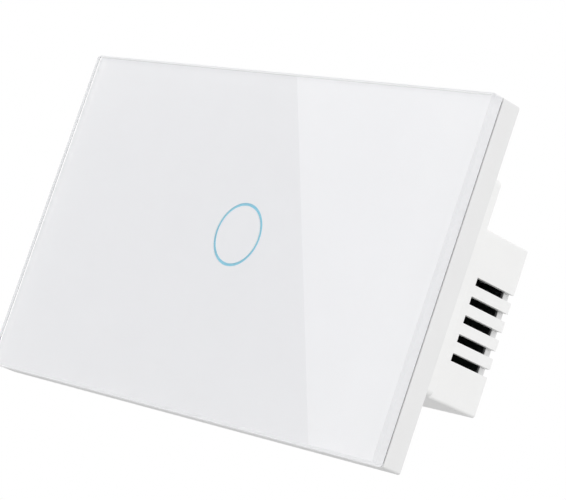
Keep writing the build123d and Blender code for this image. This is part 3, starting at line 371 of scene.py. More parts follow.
def refine(kind: str, **settings: object) -> None:
    """Adds a modifier to the active object and applies it.

    Args:
        kind: Blender's name for the modifier.
        settings: what its options are set to.
    """
    modifier = bpy.context.active_object.modifiers.new(kind.lower(), kind)
    for name, value in settings.items():
        setattr(modifier, name, value)
    bpy.ops.object.modifier_apply(modifier=modifier.name)


def carve(shape: Shape, tool: Shape) -> None:
    """Cuts a tool out of a shape, and removes the tool."""
    pick(shape)
    refine("BOOLEAN", operation="DIFFERENCE", object=tool, solver="EXACT")
    bpy.data.objects.remove(tool, do_unlink=True)


def close_up() -> None:
    """Merges the active object's doubled points, closes its open ends and turns its faces outwards."""
    edit()
    bpy.ops.mesh.remove_doubles(threshold=SAME_POINT)
    bpy.ops.mesh.fill_holes(sides=0)
    select_mesh()
    bpy.ops.mesh.normals_make_consistent(inside=False)
    leave_edit()


def add_block(low: Sequence[float], high: Sequence[float], edge: float = 0.0) -> Shape:
    """Adds a block between two corners.

    Args:
        low: its lowest corner.
        high: its highest corner.
        edge: how far its edges are rounded.

    Returns:
        The block, which is the active object.
    """
    clear_selection()
    bpy.ops.mesh.primitive_cube_add(size=1, location=[(a + b) / 2 for a, b in zip(low, high)])
    block = bpy.context.active_object
    block.scale = [b - a for a, b in zip(low, high)]
    settle()
    if edge:
        refine("BEVEL", width=edge, segments=2, limit_method="ANGLE")
    return block


def draw_line(points: Sequence[Vector]) -> None:
    """Starts a mesh as a chain of edges through points, and leaves it selected in edit mode.

    Args:
        points: the points of the chain.
    """
    clear_selection()
    bpy.ops.mesh.primitive_plane_add(size=MM, location=points[0])
    edit()
    bpy.ops.mesh.merge(type="CENTER")
    for before, after in zip(points, points[1:]):
        bpy.ops.mesh.extrude_vertices_move(TRANSFORM_OT_translate={"value": after - before})
    select_mesh()


def add_strip(points: Sequence[Vector], rise: Vector, width: float) -> Shape:
    """Adds a strip of even width along a line.

    Args:
        points: the points of its middle line.
        rise: how far and which way it rises.
        width: its width, square to its line and its rise.

    Returns:
        The strip, which is the active object.
    """
    draw_line(points)
    push(rise)
    leave_edit()
    settle()
    refine("SOLIDIFY", thickness=width, offset=0.0, use_even_offset=True)
    close_up()
    return bpy.context.active_object


def scaled(outline: Sequence[Point], radius: float, length: float) -> list[Point]:
    """An outline that is given in shares, at the size that they are shares of."""
    return [(across * radius, along * length) for across, along in outline]


def add_turned(middle: Vector, outline: Sequence[Point], steps: int = 24, angle: float = 2 * pi) -> Shape:
    """Adds a shape turned about an axis along Y, and shaded smooth if it goes all round.

    Args:
        middle: a point of the axis.
        outline: pairs of a radius and a distance along Y from the point.
        steps: how many steps it is turned in.
        angle: how far it is turned.

    Returns:
        The shape, which is the active object.
    """
    draw_line([middle + Vector((radius, along, 0)) for radius, along in outline])
    bpy.ops.mesh.spin(steps=steps, angle=angle, center=middle, axis=(0, 1, 0))
    leave_edit()
    settle()
    close_up()
    if angle == 2 * pi:
        smooth()
    return bpy.context.active_object


def add_helix(start: Vector, radius: float, wire: float, pitch: float, turns: int, sides: int = 6) -> Shape:
    """Adds a wire or a thread that winds about an axis along Y, closed at both ends.

    Args:
        start: where the axis starts.
        radius: from the axis to the wire's middle.
        wire: the wire's own radius.
        pitch: how far one turn climbs along Y.
        turns: how many turns it makes.
        sides: how many sides the wire has, the first corner outwards.

    Returns:
        The wire, which is the active object.
    """
    clear_selection()
    place = start + Vector((radius, 0, 0))
    bpy.ops.mesh.primitive_circle_add(vertices=sides, radius=wire, location=place, rotation=(0, 0, -pi / 2))
    bpy.ops.object.transform_apply(location=False, rotation=True, scale=True)
    bpy.context.scene.cursor.location = start
    bpy.ops.object.origin_set(type="ORIGIN_CURSOR")
    refine(
        "SCREW", axis="Y", angle=2 * pi, screw_offset=pitch, iterations=turns, steps=WINDING_STEPS,
        render_steps=WINDING_STEPS, use_merge_vertices=True,
    )
    settle()
    close_up()
    smooth()
    return bpy.context.active_object


def copied(shape: Shape, places: Sequence[Vector]) -> list[Shape]:
    """Copies a shape, each copy with its own mesh.

    Args:
        shape: the shape, which stands at the first place.
        places: the places of the shape and its copies.

    Returns:
        The shape and its copies.
    """
    made = [shape]
    for place in places[1:]:
        pick(shape)
        bpy.ops.object.duplicate(linked=False)
        twin = bpy.context.active_object
        twin.location = shape.location + place - places[0]
        made.append(twin)
    return made


def join(shapes: Sequence[Shape]) -> Shape:
    """Joins shapes into one object, which becomes the active one."""
    pick(shapes[0])
    for shape in shapes[1:]:
        shape.select_set(True)
    bpy.ops.object.join()
    return bpy.context.active_object


def solids_of(node: str) -> list[Box]:
    """Finds the separate solids of a node.

    Args:
        node: the node's name.

    Returns:
        The lowest and highest corner of each, from left to right and then upwards.
    """
    shape = bmesh.new()
    shape.from_mesh(frame["nodes"][node].data)
    bmesh.ops.remove_doubles(shape, verts=shape.verts, dist=SAME_POINT)
    waiting = set(shape.verts)
    boxes = []
    while waiting:
        reached = [waiting.pop()]
        for vert in reached:
            for other in (edge.other_vert(vert) for edge in vert.link_edges):
                if other in waiting:
                    waiting.remove(other)
                    reached.append(other)
        parts = list(zip(*(vert.co for vert in reached)))
        boxes.append((Vector([min(part) for part in parts]), Vector([max(part) for part in parts])))
    shape.free()
    return sorted(boxes, key=lambda box: (round(box[0].x, 5), round(box[0].z, 5)))


def box_of(node: str) -> Box:
    """The lowest and highest corner of a node."""
    low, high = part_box(node)
    return Vector(low), Vector(high)


def middle_of(box: Box) -> Vector:
    """The middle of a box."""
    return (box[0] + box[1]) / 2


def front_of(box: Box) -> Vector:
    """The middle of a box's front."""
    middle = middle_of(box)
    return Vector((middle.x, box[0].y, middle.z))


def past(point: Point, x: float = 0.0, z: float = 0.0) -> Point:
    """A point of a board, moved along X and Z."""
    return (point[0] + x, point[1] + z)


class Side(Enum):
    """A side of a part on a board, as its way along X and Z."""

    LEFT = (-1, 0)
    RIGHT = (1, 0)
    FOOT = (0, -1)
    HEAD = (0, 1)

    def of(self, box: Box) -> Point:
        """X and Z of the middle of this side of a part."""
        middle, half = middle_of(box), (box[1] - box[0]) / 2
        return past((middle.x, middle.z), self.value[0] * half.x, self.value[1] * half.z)


class Fill(Enum):
    """How a circle is filled."""

    OPEN = "NOTHING"
    DISC = "NGON"


class Facing(Enum):
    """Which way a screw's head looks, as the way of its shank along Y."""

    FRONT = 1
    BACK = -1


class Kit:
    """Finishes by name, and the pieces that are made with them."""

    def __init__(self) -> None:
        """Makes each material once."""
        self.materials = {finish.name: bpy.data.materials.new(finish.name) for finish in FINISHES}
        for finish in FINISHES:
            finish.dress(Graph(self.materials[finish.name]))

    def dress_nodes(self) -> None:
        """Gives each CAD node its own finish, or else the one of its material slot in the record."""
        slots = {part["node"]: part["material_slot"] for part in frame["record"]["subparts"]}
        for name, node in frame["nodes"].items():
            finish = OWN_FINISHES.get(name, slots[name])
            node.data.materials.clear()
            node.data.materials.append(self.materials[finish])
            log.info("node %s: %s", name, finish)

    def hand_over(
        self, shapes: Sequence[Shape], name: str, slot: str, body: str = "base", finish: str = "",
        replaces: str = "",
    ) -> None:
        """Joins shapes into one finished piece, with its place in its mesh.

        Args:
            shapes: what it is made of.
            name: its name.
            slot: the record's material slot.
            body: the body that it rides on.
            finish: its finish, if it isn't the slot's own.
            replaces: the plain solid that it stands for, if any.
        """
        piece = join(shapes)
        settle()
        piece.name = name
        piece.data.materials.clear()
        piece.data.materials.append(self.materials[finish or slot])
        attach(piece, body)
        if replaces:
            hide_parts(replaces)
        log.info("piece %s: %s on %s", name, slot, body)


@dataclass
class EnamelCoat:
    """White enamel fired on the back of the glass, open only in the thin ring."""

    kit: Kit
    ring_x: float = 3.1 * MM
    ring_z: float = 1.6 * MM
    ring_radius: float = 6.4 * MM
    ring_width: float = 0.6 * MM
    bite: float = 0.02 * MM
    corner: float = 0.8 * MM
    corner_steps: int = 8
    round_steps: int = 144

    def build(self) -> None:
        """Makes the coat, which bites a little into the glass as fired enamel does."""
        low, high = box_of("print_mask")
        front = low.y - self.bite
        clear_selection()
        bpy.ops.mesh.primitive_plane_add(size=1, rotation=(pi / 2, 0, 0))
        sheet = bpy.context.active_object
        sheet.location = ((low.x + high.x) / 2, front, (low.z + high.z) / 2)
        sheet.scale = (high.x - low.x, high.z - low.z, 1)
        settle()
        edit()
        bpy.ops.mesh.bevel(offset=self.corner, segments=self.corner_steps, affect="VERTICES")
        select_mesh()
        bpy.ops.mesh.delete(type="ONLY_FACE")
        for way, fill in ((1, Fill.OPEN), (-1, Fill.DISC)):
            bpy.ops.mesh.primitive_circle_add(
                vertices=self.round_steps, radius=self.ring_radius + way * self.ring_width / 2,
                fill_type=fill.value, location=(self.ring_x, front, self.ring_z), rotation=(pi / 2, 0, 0),
            )
            select_mesh()
            if fill is Fill.OPEN:
                bpy.ops.mesh.fill(use_beauty=True)
        push((0, high.y - front, 0))
        select_mesh()
        bpy.ops.mesh.normals_make_consistent(inside=False)
        leave_edit()
        self.kit.hand_over([sheet], "enamel_coat", "white_enamel", "front_panel", replaces="print_mask")


@dataclass
class TouchBoard:
    """Tracks, pads, soldered ends and lamp lenses on the front of the touch board."""

    kit: Kit
    track_width: float = 0.3 * MM
    track_rise: float = 0.04 * MM
    track_bite: float = 0.01 * MM
    cut: float = 0.6 * MM
    cut_share: float = 0.4
    run: float = 1.0 * MM
    lane: float = 1.2 * MM
    detour: float = 4.4 * MM
    detour_step: float = 0.8 * MM
    foot_step: float = 0.7 * MM
    column_end: float = -20.0 * MM
    right_runs: tuple[float, ...] = (1.7 * MM, 2.6 * MM, 3.0 * MM, 4.0 * MM, 1.5 * MM)
    supply_drop: float = 4.0 * MM
    inset: float = 0.4 * MM
    lamp_lane: float = 1.4 * MM
    lamp_run: float = 2.0 * MM
    lamp_climb: float = 3.2 * MM
    spring_run: float = 4.2 * MM
    spring_turn: Point = (4.5 * MM, -1.3 * MM)
    spring_foot: Point = (6.4 * MM, 0.9 * MM)
    radio_turn: float = 14.0 * MM
    radio_foot: Point = (16.0 * MM, -9.0 * MM)
    level_first: float = 9.0 * MM
    level_step: float = 0.5 * MM
    radio_pad_first: float = 13.5 * MM
    radio_pad_step: float = 2.4 * MM
    pad_radius: float = 0.45 * MM
    pad_rise: float = 0.07 * MM
    pad_steps: int = 16
    pad_outline: tuple[Point, ...] = ((0, 0), (1, 0), (1, -0.5), (0.6, -1), (0, -1))
    end_length: float = 0.38 * MM
    end_skin: float = 0.03 * MM
    solder_reach: float = 0.28 * MM
    solder_climb: float = 0.4
    solder_bevel: float = 0.8
    lens_radius: float = 0.38 * MM
    lens_rise: float = 0.14 * MM
    lens_bite: float = 0.02 * MM
    lens_outline: tuple[Point, ...] = ((0.94, -0.5), (0.6, -0.9), (0, -1))
    aerial_width: float = 0.5 * MM
    aerial_step: float = 1.5 * MM
    aerial_start: float = 1.4 * MM
    aerial_end: float = 1.2 * MM
    aerial_foot: float = 0.8 * MM
    aerial_head: float = 0.6 * MM

    def __post_init__(self) -> None:
        """Reads the places of the parts from the frame."""
        self.front = box_of("touch_board")[0].y - self.track_rise
        self.rise = Vector((0, self.track_rise + self.track_bite, 0))
        chip = solids_of("touch_chip")
        body = max(chip, key=lambda box: box[1].z - box[0].z)
        legs = sorted((box for box in chip if box is not body), key=lambda box: box[0].z)
        self.left_legs = [box for box in legs if box[1].x < body[1].x]
        self.right_legs = [box for box in legs if box[0].x > body[0].x]
        self.parts = solids_of("touch_board_parts")
        self.row = [box for box in self.parts if not self.lies(box)]
        lying = [box for box in self.parts if self.lies(box)]
        self.column = [box for box in lying if box[0].x < self.column_end]
        self.large = [box for box in lying if box[0].x > self.column_end]
        self.lamps = solids_of("ring_lights")

    def lies(self, box: Box) -> bool:
        """Whether a part is longer across than upwards."""
        return box[1].x - box[0].x > box[1].z - box[0].z

    def bent(self, points: Sequence[Point]) -> list[Vector]:
        """A route on the board with its corners cut.

        Args:
            points: X and Z of its ends and corners.

        Returns:
            Its points.
        """
        flat = [Vector((x, self.front, z)) for x, z in points]
        route = [flat[0]]
        for before, corner, after in zip(flat, flat[1:], flat[2:]):
            for other in (before, after):
                way = other - corner
                route.append(corner + way * min(self.cut_share, self.cut / way.length))
        return route + [flat[-1]]

    def left_lines(self) -> list[list[Point]]:
        """Where the tracks run from the chip's left legs to the column, and on from there to the row."""
        lines = []
        for leg, part in zip(self.left_legs[1:], self.column):
            start, end = Side.LEFT.of(leg), Side.RIGHT.of(part)
            lines.append([start, past(start, -self.lane), past(end, self.run), end])
        for number, part in enumerate(self.column[:2]):
            start, end = Side.LEFT.of(part), Side.HEAD.of(self.row[1 - number])
            side = start[0] - (number + 1) * self.lane
            lines.append([start, (side, start[1]), (side, end[1] + self.run), end])
        for number, part in enumerate(self.column[2:]):
            start, end = Side.LEFT.of(part), Side.FOOT.of(self.row[3 + number])
            side = start[0] - self.detour - number * self.detour_step
            foot = self.row[0][0].z - (number + 1) * self.foot_step
            lines.append([start, (side, start[1]), (side, foot), (end[0], foot), end])
        return lines

    def right_lines(self) -> list[list[Point]]:
        """Where the tracks run from the chip's right legs to the supply, the spring and the lamps."""
        west, south, north, _ = self.lamps
        first, second = self.large
        legs = [Side.RIGHT.of(leg) for leg in self.right_legs]
        supply, low_lamp, spring, lamp, high_lamp = (
            [leg, past(leg, run)] for leg, run in zip((*legs[:4], legs[7]), self.right_runs)
        )
        corner = (first[0].x, first[1].z)
        low_end = Side.FOOT.of(south)
        turn = (middle_of(west).x - self.lamp_run, low_end[1] - self.lamp_lane)
        high_end = (north[0].x, north[0].z + self.inset)
        last = Side.RIGHT.of(second)
        bend = (legs[2][0] + self.spring_run, self.spring_turn[1])
        return [
            [*low_lamp, turn, (low_end[0], turn[1]), low_end],
            [*supply, past(corner, z=self.supply_drop), past(corner, self.inset)],
            [*spring, bend, self.spring_turn, self.spring_foot],
            [*lamp, Side.LEFT.of(west)],
            [*high_lamp, (legs[7][0] + self.lamp_climb, high_end[1]), high_end],
            [Side.RIGHT.of(first), Side.LEFT.of(second)],
            [last, (self.radio_turn, last[1]), self.radio_foot],
        ]

    def radio_lines(self) -> list[list[Point]]:
        """Where the tracks run from the plug's pins to the radio board."""
        lines = []
        top = box_of("radio_board")[1].z
        for number, pin in enumerate(solids_of("header_pins")):
            start = Side.FOOT.of(pin)
            level = self.level_first + number * self.level_step
            goal = self.radio_pad_first + number * self.radio_pad_step
            lines.append([start, (start[0], level), (goal, level), (goal, top)])
        return lines

    def lay_tracks(self) -> None:
        """Lays the lacquered tracks, and a pad at both ends of each."""
        routes = [self.bent(line) for line in self.left_lines() + self.right_lines() + self.radio_lines()]
        strips = [add_strip(route, self.rise, self.track_width) for route in routes]
        self.kit.hand_over(strips, "board_tracks", "green_board", finish="lacquered_track")
        foot = Vector((0, self.track_rise, 0))
        ends = [route[side] + foot for route in routes for side in (0, -1)]
        pad = add_turned(ends[0], scaled(self.pad_outline, self.pad_radius, self.pad_rise), self.pad_steps)
        self.kit.hand_over(copied(pad, ends), "track_pads", "tin_plate")

    def cap(self, box: Box, side: Side) -> list[Shape]:
        """Makes the tinned end of a small part, and the solder at its foot.

        Args:
            box: the part.
            side: the end.

        Returns:
            Both shapes.
        """
        axis, way = (0, side.value[0]) if side.value[0] else (2, side.value[1])
        low = box[0] - Vector((self.end_skin, self.end_skin, self.end_skin))
        high = box[1] + Vector((self.end_skin, 0, self.end_skin))
        foot_low, foot_high = low.copy(), high.copy()
        foot_low.y = high.y - self.solder_climb * (high.y - low.y)
        tip = (low if way < 0 else high)[axis]
        outer = tip + way * self.solder_reach
        low[axis], high[axis] = sorted((tip, tip - way * self.end_length))
        foot_low[axis], foot_high[axis] = sorted((tip, outer))
        foot = add_block(foot_low, foot_high)

        def is_rim(edge: bpy.types.MeshEdge) -> bool:
            """Whether an edge is the solder's outer front one."""
            ends = [foot.data.vertices[number].co for number in edge.vertices]
            return all(abs(end[axis] - outer) + abs(end.y - foot_low.y) < SAME_POINT for end in ends)

        edit_only("edges", is_rim)
        bpy.ops.mesh.bevel(offset=self.solder_reach * self.solder_bevel, segments=2, profile=0.3)
        leave_edit()
        return [add_block(low, high, self.end_skin), foot]

    def solder_ends(self) -> None:
        """Tins the ends of the small parts and of the lamps."""
        shapes = []
        for box in self.parts + self.lamps:
            for side in (Side.LEFT, Side.RIGHT) if self.lies(box) else (Side.FOOT, Side.HEAD):
                shapes += self.cap(box, side)
        self.kit.hand_over(shapes, "part_ends", "tin_plate")

    def set_lenses(self) -> None:
        """Sets a round lens on each lamp."""
        places = [front_of(box) for box in self.lamps]
        dome = scaled(self.lens_outline, self.lens_radius, self.lens_rise)
        lens = add_turned(places[0], [(0, self.lens_bite), (self.lens_radius, self.lens_bite), *dome])
        self.kit.hand_over(copied(lens, places), "lamp_lenses", "lamp_resin")

    def lay_aerial(self) -> None:
        """Lays the aerial, which winds to and fro over the open end of the radio board."""
        low, high = box_of("radio_board")
        shield = box_of("radio_shield")[1].z
        near, far = high.z - self.aerial_head, shield + self.aerial_foot
        stop = high.x - self.aerial_end
        x = low.x + self.aerial_start
        line = [(x, shield)]
        while x < stop:
            line += [(x, near), (x + self.aerial_step, near)]
            x += self.aerial_step
            near, far = far, near
        points = [Vector((x, low.y - self.track_rise, z)) for x, z in line if x < stop]
        self.kit.hand_over([add_strip(points, self.rise, self.aerial_width)], "aerial", "brass")

    def build(self) -> None:
        """Makes everything on the board."""
        self.lay_tracks()
        self.solder_ends()
        self.set_lenses()
        self.lay_aerial()


@dataclass
class Chip:
    """A moulded chip: a body with drafted sides and a dimple, on bent legs."""

    kit: Kit
    node: str
    draft: float = 0.12 * MM
    edge: float = 0.06 * MM
    dimple: float = 0.3 * MM
    dimple_depth: float = 0.05 * MM
    dimple_inset: float = 0.9 * MM
    dimple_steps: int = 16
    dimple_outline: tuple[Point, ...] = ((0, -1), (1, -1), (0.8, 1), (0, 1))
    leg_thickness: float = 0.18 * MM
    leg_outline: tuple[Point, ...] = ((-0.15, 0), (0.3, 0), (0.42, 0.15), (0.5, 0.9), (0.62, 1), (1, 1))

    def mould(self, box: Box) -> Shape:
        """Moulds the body, widest at its parting line.

        Args:
            box: the plain body.

        Returns:
            The body.
        """
        low, high = box
        middle = middle_of(box)
        block = add_block((low.x, middle.y, low.z), high)
        share = [1 - 2 * self.draft / (b - a) for a, b in zip(low, high)]
        for way, end in ((1, high.y), (-1, low.y)):
            edit_only("polygons", lambda face: face.normal.y * way > 0.9)
            if way < 0:
                push((0, end - middle.y, 0))
            bpy.ops.transform.resize(value=(share[0], 1, share[2]), center_override=(middle.x, end, middle.z))
            leave_edit()
        refine("BEVEL", width=self.edge, segments=2, limit_method="ANGLE", angle_limit=radians(25))
        mark = Vector((low.x + self.dimple_inset, low.y, high.z - self.dimple_inset))
        outline = scaled(self.dimple_outline, self.dimple, self.dimple_depth)
        carve(block, add_turned(mark, outline, self.dimple_steps))
        return block

    def bend_leg(self, leg: Box, box: Box) -> Shape:
        """Bends one leg from the parting line down to the board.

        Args:
            leg: the plain leg.
            box: the plain body.

        Returns:
            The leg.
        """
        side = int(middle_of(leg).x > middle_of(box).x)
        start = Vector((box[side].x, middle_of(box).y, leg[0].z))
        reach = leg[side].x - start.x
        drop = leg[1].y - self.leg_thickness / 2 - start.y
        points = [start + Vector((x, y, 0)) for x, y in scaled(self.leg_outline, reach, drop)]
        return add_strip(points, Vector((0, 0, leg[1].z - leg[0].z)), self.leg_thickness)

    def build(self) -> None:
        """Makes the chip, which replaces the plain one."""
        solids = solids_of(self.node)
        box = max(solids, key=lambda one: one[1].y - one[0].y)
        self.kit.hand_over([self.mould(box)], f"{self.node}_body", "black_plastic", replaces=self.node)
        legs = [self.bend_leg(leg, box) for leg in solids if leg is not box]
        self.kit.hand_over(legs, f"{self.node}_legs", "tin_plate")


@dataclass
class CoilWinding:
    """The relay's copper wire, wound turn by turn over its inner layers."""

    kit: Kit
    wire: float = 0.12 * MM
    bore: float = 2.85 * MM
    end_gap: float = 1.1
    sunk: float = 1.2
    round_steps: int = 48

    def build(self) -> None:
        """Makes the winding, which replaces the plain one."""
        low, high = box_of("relay_coil")
        start = front_of((low, high))
        outside, length = (high.x - low.x) / 2, high.y - low.y
        inside, gap = outside - self.sunk * self.wire, self.end_gap * self.wire
        turns = int(length / (2 * self.wire)) - 1
        pitch = (length - 2 * gap) / turns
        wound = add_helix(start + Vector((0, gap, 0)), outside - self.wire, self.wire, pitch, turns)
        outline = ((self.bore, 0), (inside, 0), (inside, length), (self.bore, length), (self.bore, 0))
        layers = add_turned(start, outline, self.round_steps)
        self.kit.hand_over([wound, layers], "relay_winding", "copper_wire", replaces="relay_coil")


@dataclass
class Cans:
    """Can capacitors: a shrunk sleeve round an aluminium can with a scored top."""

    kit: Kit
    node: str
    stand_off: float = 0.2 * MM
    sleeve: float = 0.12 * MM
    lap: float = 0.7 * MM
    lap_sunk: float = 0.02 * MM
    shoulder: float = 0.25 * MM
    shoulder_inset: float = 0.07 * MM
    foot_bevel: Point = (0.15 * MM, 0.2 * MM)
    groove_heights: Point = (1.4 * MM, 2.4 * MM)
    groove_depth: float = 0.3 * MM
    waist_half: float = 0.1 * MM
    can_gap: float = 0.05 * MM
    can_bevel: Point = (0.3 * MM, 0.2 * MM)
    score_share: float = 0.55
    score_width: float = 0.25 * MM
    score_depth: float = 0.12 * MM
    leg_share: float = 0.3
    leg_size: float = 0.3 * MM
    leg_bite: float = 0.1 * MM
    leg_outline: tuple[Point, ...] = ((0, 0), (1, 0), (1, 1), (0, 1))
    stripe_angle: float = 50.0
    stripe_start: float = 0.6 * MM
    stripe_end: float = 1.4
    stripe_skin: float = 0.03 * MM
    stripe_steps: int = 8
    round_steps: int = 40
    leg_steps: int = 12

    def sleeve_outline(self, radius: float, length: float) -> list[Point]:
        """The sleeve's outline, along its outside and back along its inside.

        Args:
            radius: the can's radius.
            length: the can's length.

        Returns:
            Pairs of a radius and a distance from the top.
        """
        low, high = (length - height for height in reversed(self.groove_heights))
        waist, middle, lap = radius - self.groove_depth, (low + high) / 2, radius - self.lap
        side = [
            (radius, self.shoulder), (radius, low), (waist, middle - self.waist_half),
            (waist, middle + self.waist_half), (radius, high), (radius, length - self.foot_bevel[1]),
        ]
        inside = [(across - self.sleeve, along) for across, along in reversed(side)]
        return [
            (lap, self.lap_sunk), (radius - self.shoulder, 0),
            (radius - self.shoulder_inset, self.shoulder_inset), *side,
            (radius - self.foot_bevel[0], length), (lap, length), (lap, length - self.sleeve), *inside,
            (lap, self.sleeve), (lap, self.lap_sunk),
        ]

    def can_outline(self, radius: float, length: float) -> list[Point]:
        """The bare can's outline, inside its sleeve."""
        inside = radius - self.sleeve - self.can_gap - self.groove_depth
        top, foot = self.sleeve + self.lap_sunk, length - self.foot_bevel[0]
        bevel = (inside - self.can_bevel[0], top), (inside, top + self.can_bevel[1])
        return [(0, top), *bevel, (inside, foot), (0, foot)]

    def score(self, can: Shape, top: Vector, radius: float) -> None:
        """Cuts the crossed vent lines into the can's top.

        Args:
            can: the can.
            top: the middle of its top.
            radius: its radius.
        """
        reach, half = self.score_share * radius, self.score_width / 2
        for x, z in ((reach, half), (half, reach)):
            high = top + Vector((x, self.sleeve + self.score_depth, z))
            carve(can, add_block(top - Vector((x, self.score_depth, z)), high))

    def stripe(self, top: Vector, radius: float, length: float) -> Shape:
        """Makes the pale stripe along one side of the sleeve.

        Args:
            top: the middle of the can's top.
            radius: its radius.
            length: its length.

        Returns:
            The stripe.
        """
        near, far = self.stripe_start, length - self.stripe_end * self.groove_heights[1]
        inner, outer = radius - self.stripe_skin, radius + self.stripe_skin
        outline = ((inner, near), (outer, near), (outer, far), (inner, far), (inner, near))
        return add_turned(top, outline, self.stripe_steps, radians(self.stripe_angle))

    def build(self) -> None:
        """Makes the sleeves, the stripes and the cans, which replace the plain ones."""
        sleeves, cans, stripes = [], [], []
        for low, high in solids_of(self.node):
            radius = (high.x - low.x) / 2
            top = front_of((low, high))
            length = high.y - low.y - self.stand_off
            sleeves.append(add_turned(top, self.sleeve_outline(radius, length), self.round_steps))
            can = add_turned(top, self.can_outline(radius, length), self.round_steps)
            self.score(can, top, radius)
            cans.append(can)
            for side in (-1, 1):
                foot = top + Vector((0, length - self.leg_bite, side * self.leg_share * radius))
                leg = scaled(self.leg_outline, self.leg_size, self.leg_size)
                cans.append(add_turned(foot, leg, self.leg_steps))
            stripes.append(self.stripe(top, radius, length))
        self.kit.hand_over(sleeves, f"{self.node}_sleeves", "can_sleeve", replaces=self.node)
        self.kit.hand_over(cans, f"{self.node}_cans", "tin_plate")
        self.kit.hand_over(stripes, f"{self.node}_stripes", "can_sleeve", finish="sleeve_stripe")


@dataclass
class SolderJoints:
    """Solder cones round the cut legs behind the power board."""

    kit: Kit
    leg: float = 0.32 * MM
    round_steps: int = 20
    cone_outline: tuple[Point, ...] = ((0, 0), (1, 0), (0.97, 0.06), (0.72, 0.2), (0.5, 0.42), (0.4, 0.62))
    leg_outline: tuple[Point, ...] = ((1, 0.68), (1, 0.94), (0.75, 1), (0, 1))

    def build(self) -> None:
        """Makes the joints, which replace the plain domes."""
        boxes = solids_of("solder_joints")
        places = [front_of(box) for box in boxes]
        size = boxes[0][1] - boxes[0][0]
        outline = scaled(self.cone_outline, size.x / 2, size.y) + scaled(self.leg_outline, self.leg, size.y)
        joints = copied(add_turned(places[0], outline, self.round_steps), places)
        self.kit.hand_over(joints, "solder_cones", "tin_plate", replaces="solder_joints")


@dataclass
class ThreadedScrews:
    """Screws with a cut thread, on the heads of the plain ones."""

    kit: Kit
    node: str
    body: str
    shank_radius: float
    head_height: float
    facing: Facing
    pitch: float = 0.85 * MM
    ridge: float = 0.2 * MM
    ridge_sunk: float = 1.2
    point: float = 1.1 * MM
    point_share: float = 0.45
    lap: float = 0.2 * MM

    def heads(self, seat: float) -> Shape:
        """Cuts the heads off a copy of the plain screws.

        Args:
            seat: Y of the plane under the heads.

        Returns:
            The heads.
        """
        heads = bpy.data.objects.new("heads", frame["nodes"][self.node].data.copy())
        bpy.context.scene.collection.objects.link(heads)
        pick(heads)
        edit()
        bpy.ops.mesh.remove_doubles(threshold=SAME_POINT)
        below = (0, self.facing.value, 0)
        bpy.ops.mesh.bisect(plane_co=(0, seat, 0), plane_no=below, use_fill=True, clear_outer=True)
        leave_edit()
        close_up()
        smooth()
        return heads

    def shank(self, start: Vector, length: float) -> Shape:
        """Makes one threaded shank.

        Args:
            start: the middle of the head's underside.
            length: from there to the tip.

        Returns:
            The shank.
        """
        core = self.shank_radius - self.ridge_sunk * self.ridge
        tip = length - self.point
        end = (self.point_share * core, length)
        outline = [(0, -self.lap), (core, -self.lap), (core, tip), end, (0, length)]
        low, first = start, self.pitch
        if self.facing is Facing.BACK:
            low, first = start - Vector((0, length, 0)), self.point
            outline = [(radius, length - along) for radius, along in outline]
        bar = add_turned(low, outline)
        turns = int((tip - self.pitch) / self.pitch)
        first_turn = low + Vector((0, first, 0))
        thread = add_helix(first_turn, self.shank_radius - self.ridge, self.ridge, self.pitch, turns, 3)
        return join([bar, thread])

    def build(self) -> None:
        """Makes the screws, which replace the plain ones."""
        boxes = solids_of(self.node)
        way = self.facing.value
        starts = []
        for box in boxes:
            start = middle_of(box)
            start.y -= way * ((box[1].y - box[0].y) / 2 - self.head_height)
            starts.append(start)
        shank = self.shank(starts[0], boxes[0][1].y - boxes[0][0].y - self.head_height)
        shapes = [self.heads(starts[0].y), *copied(shank, starts)]
        self.kit.hand_over(shapes, f"{self.node}_threaded", "screw_steel", self.body, replaces=self.node)


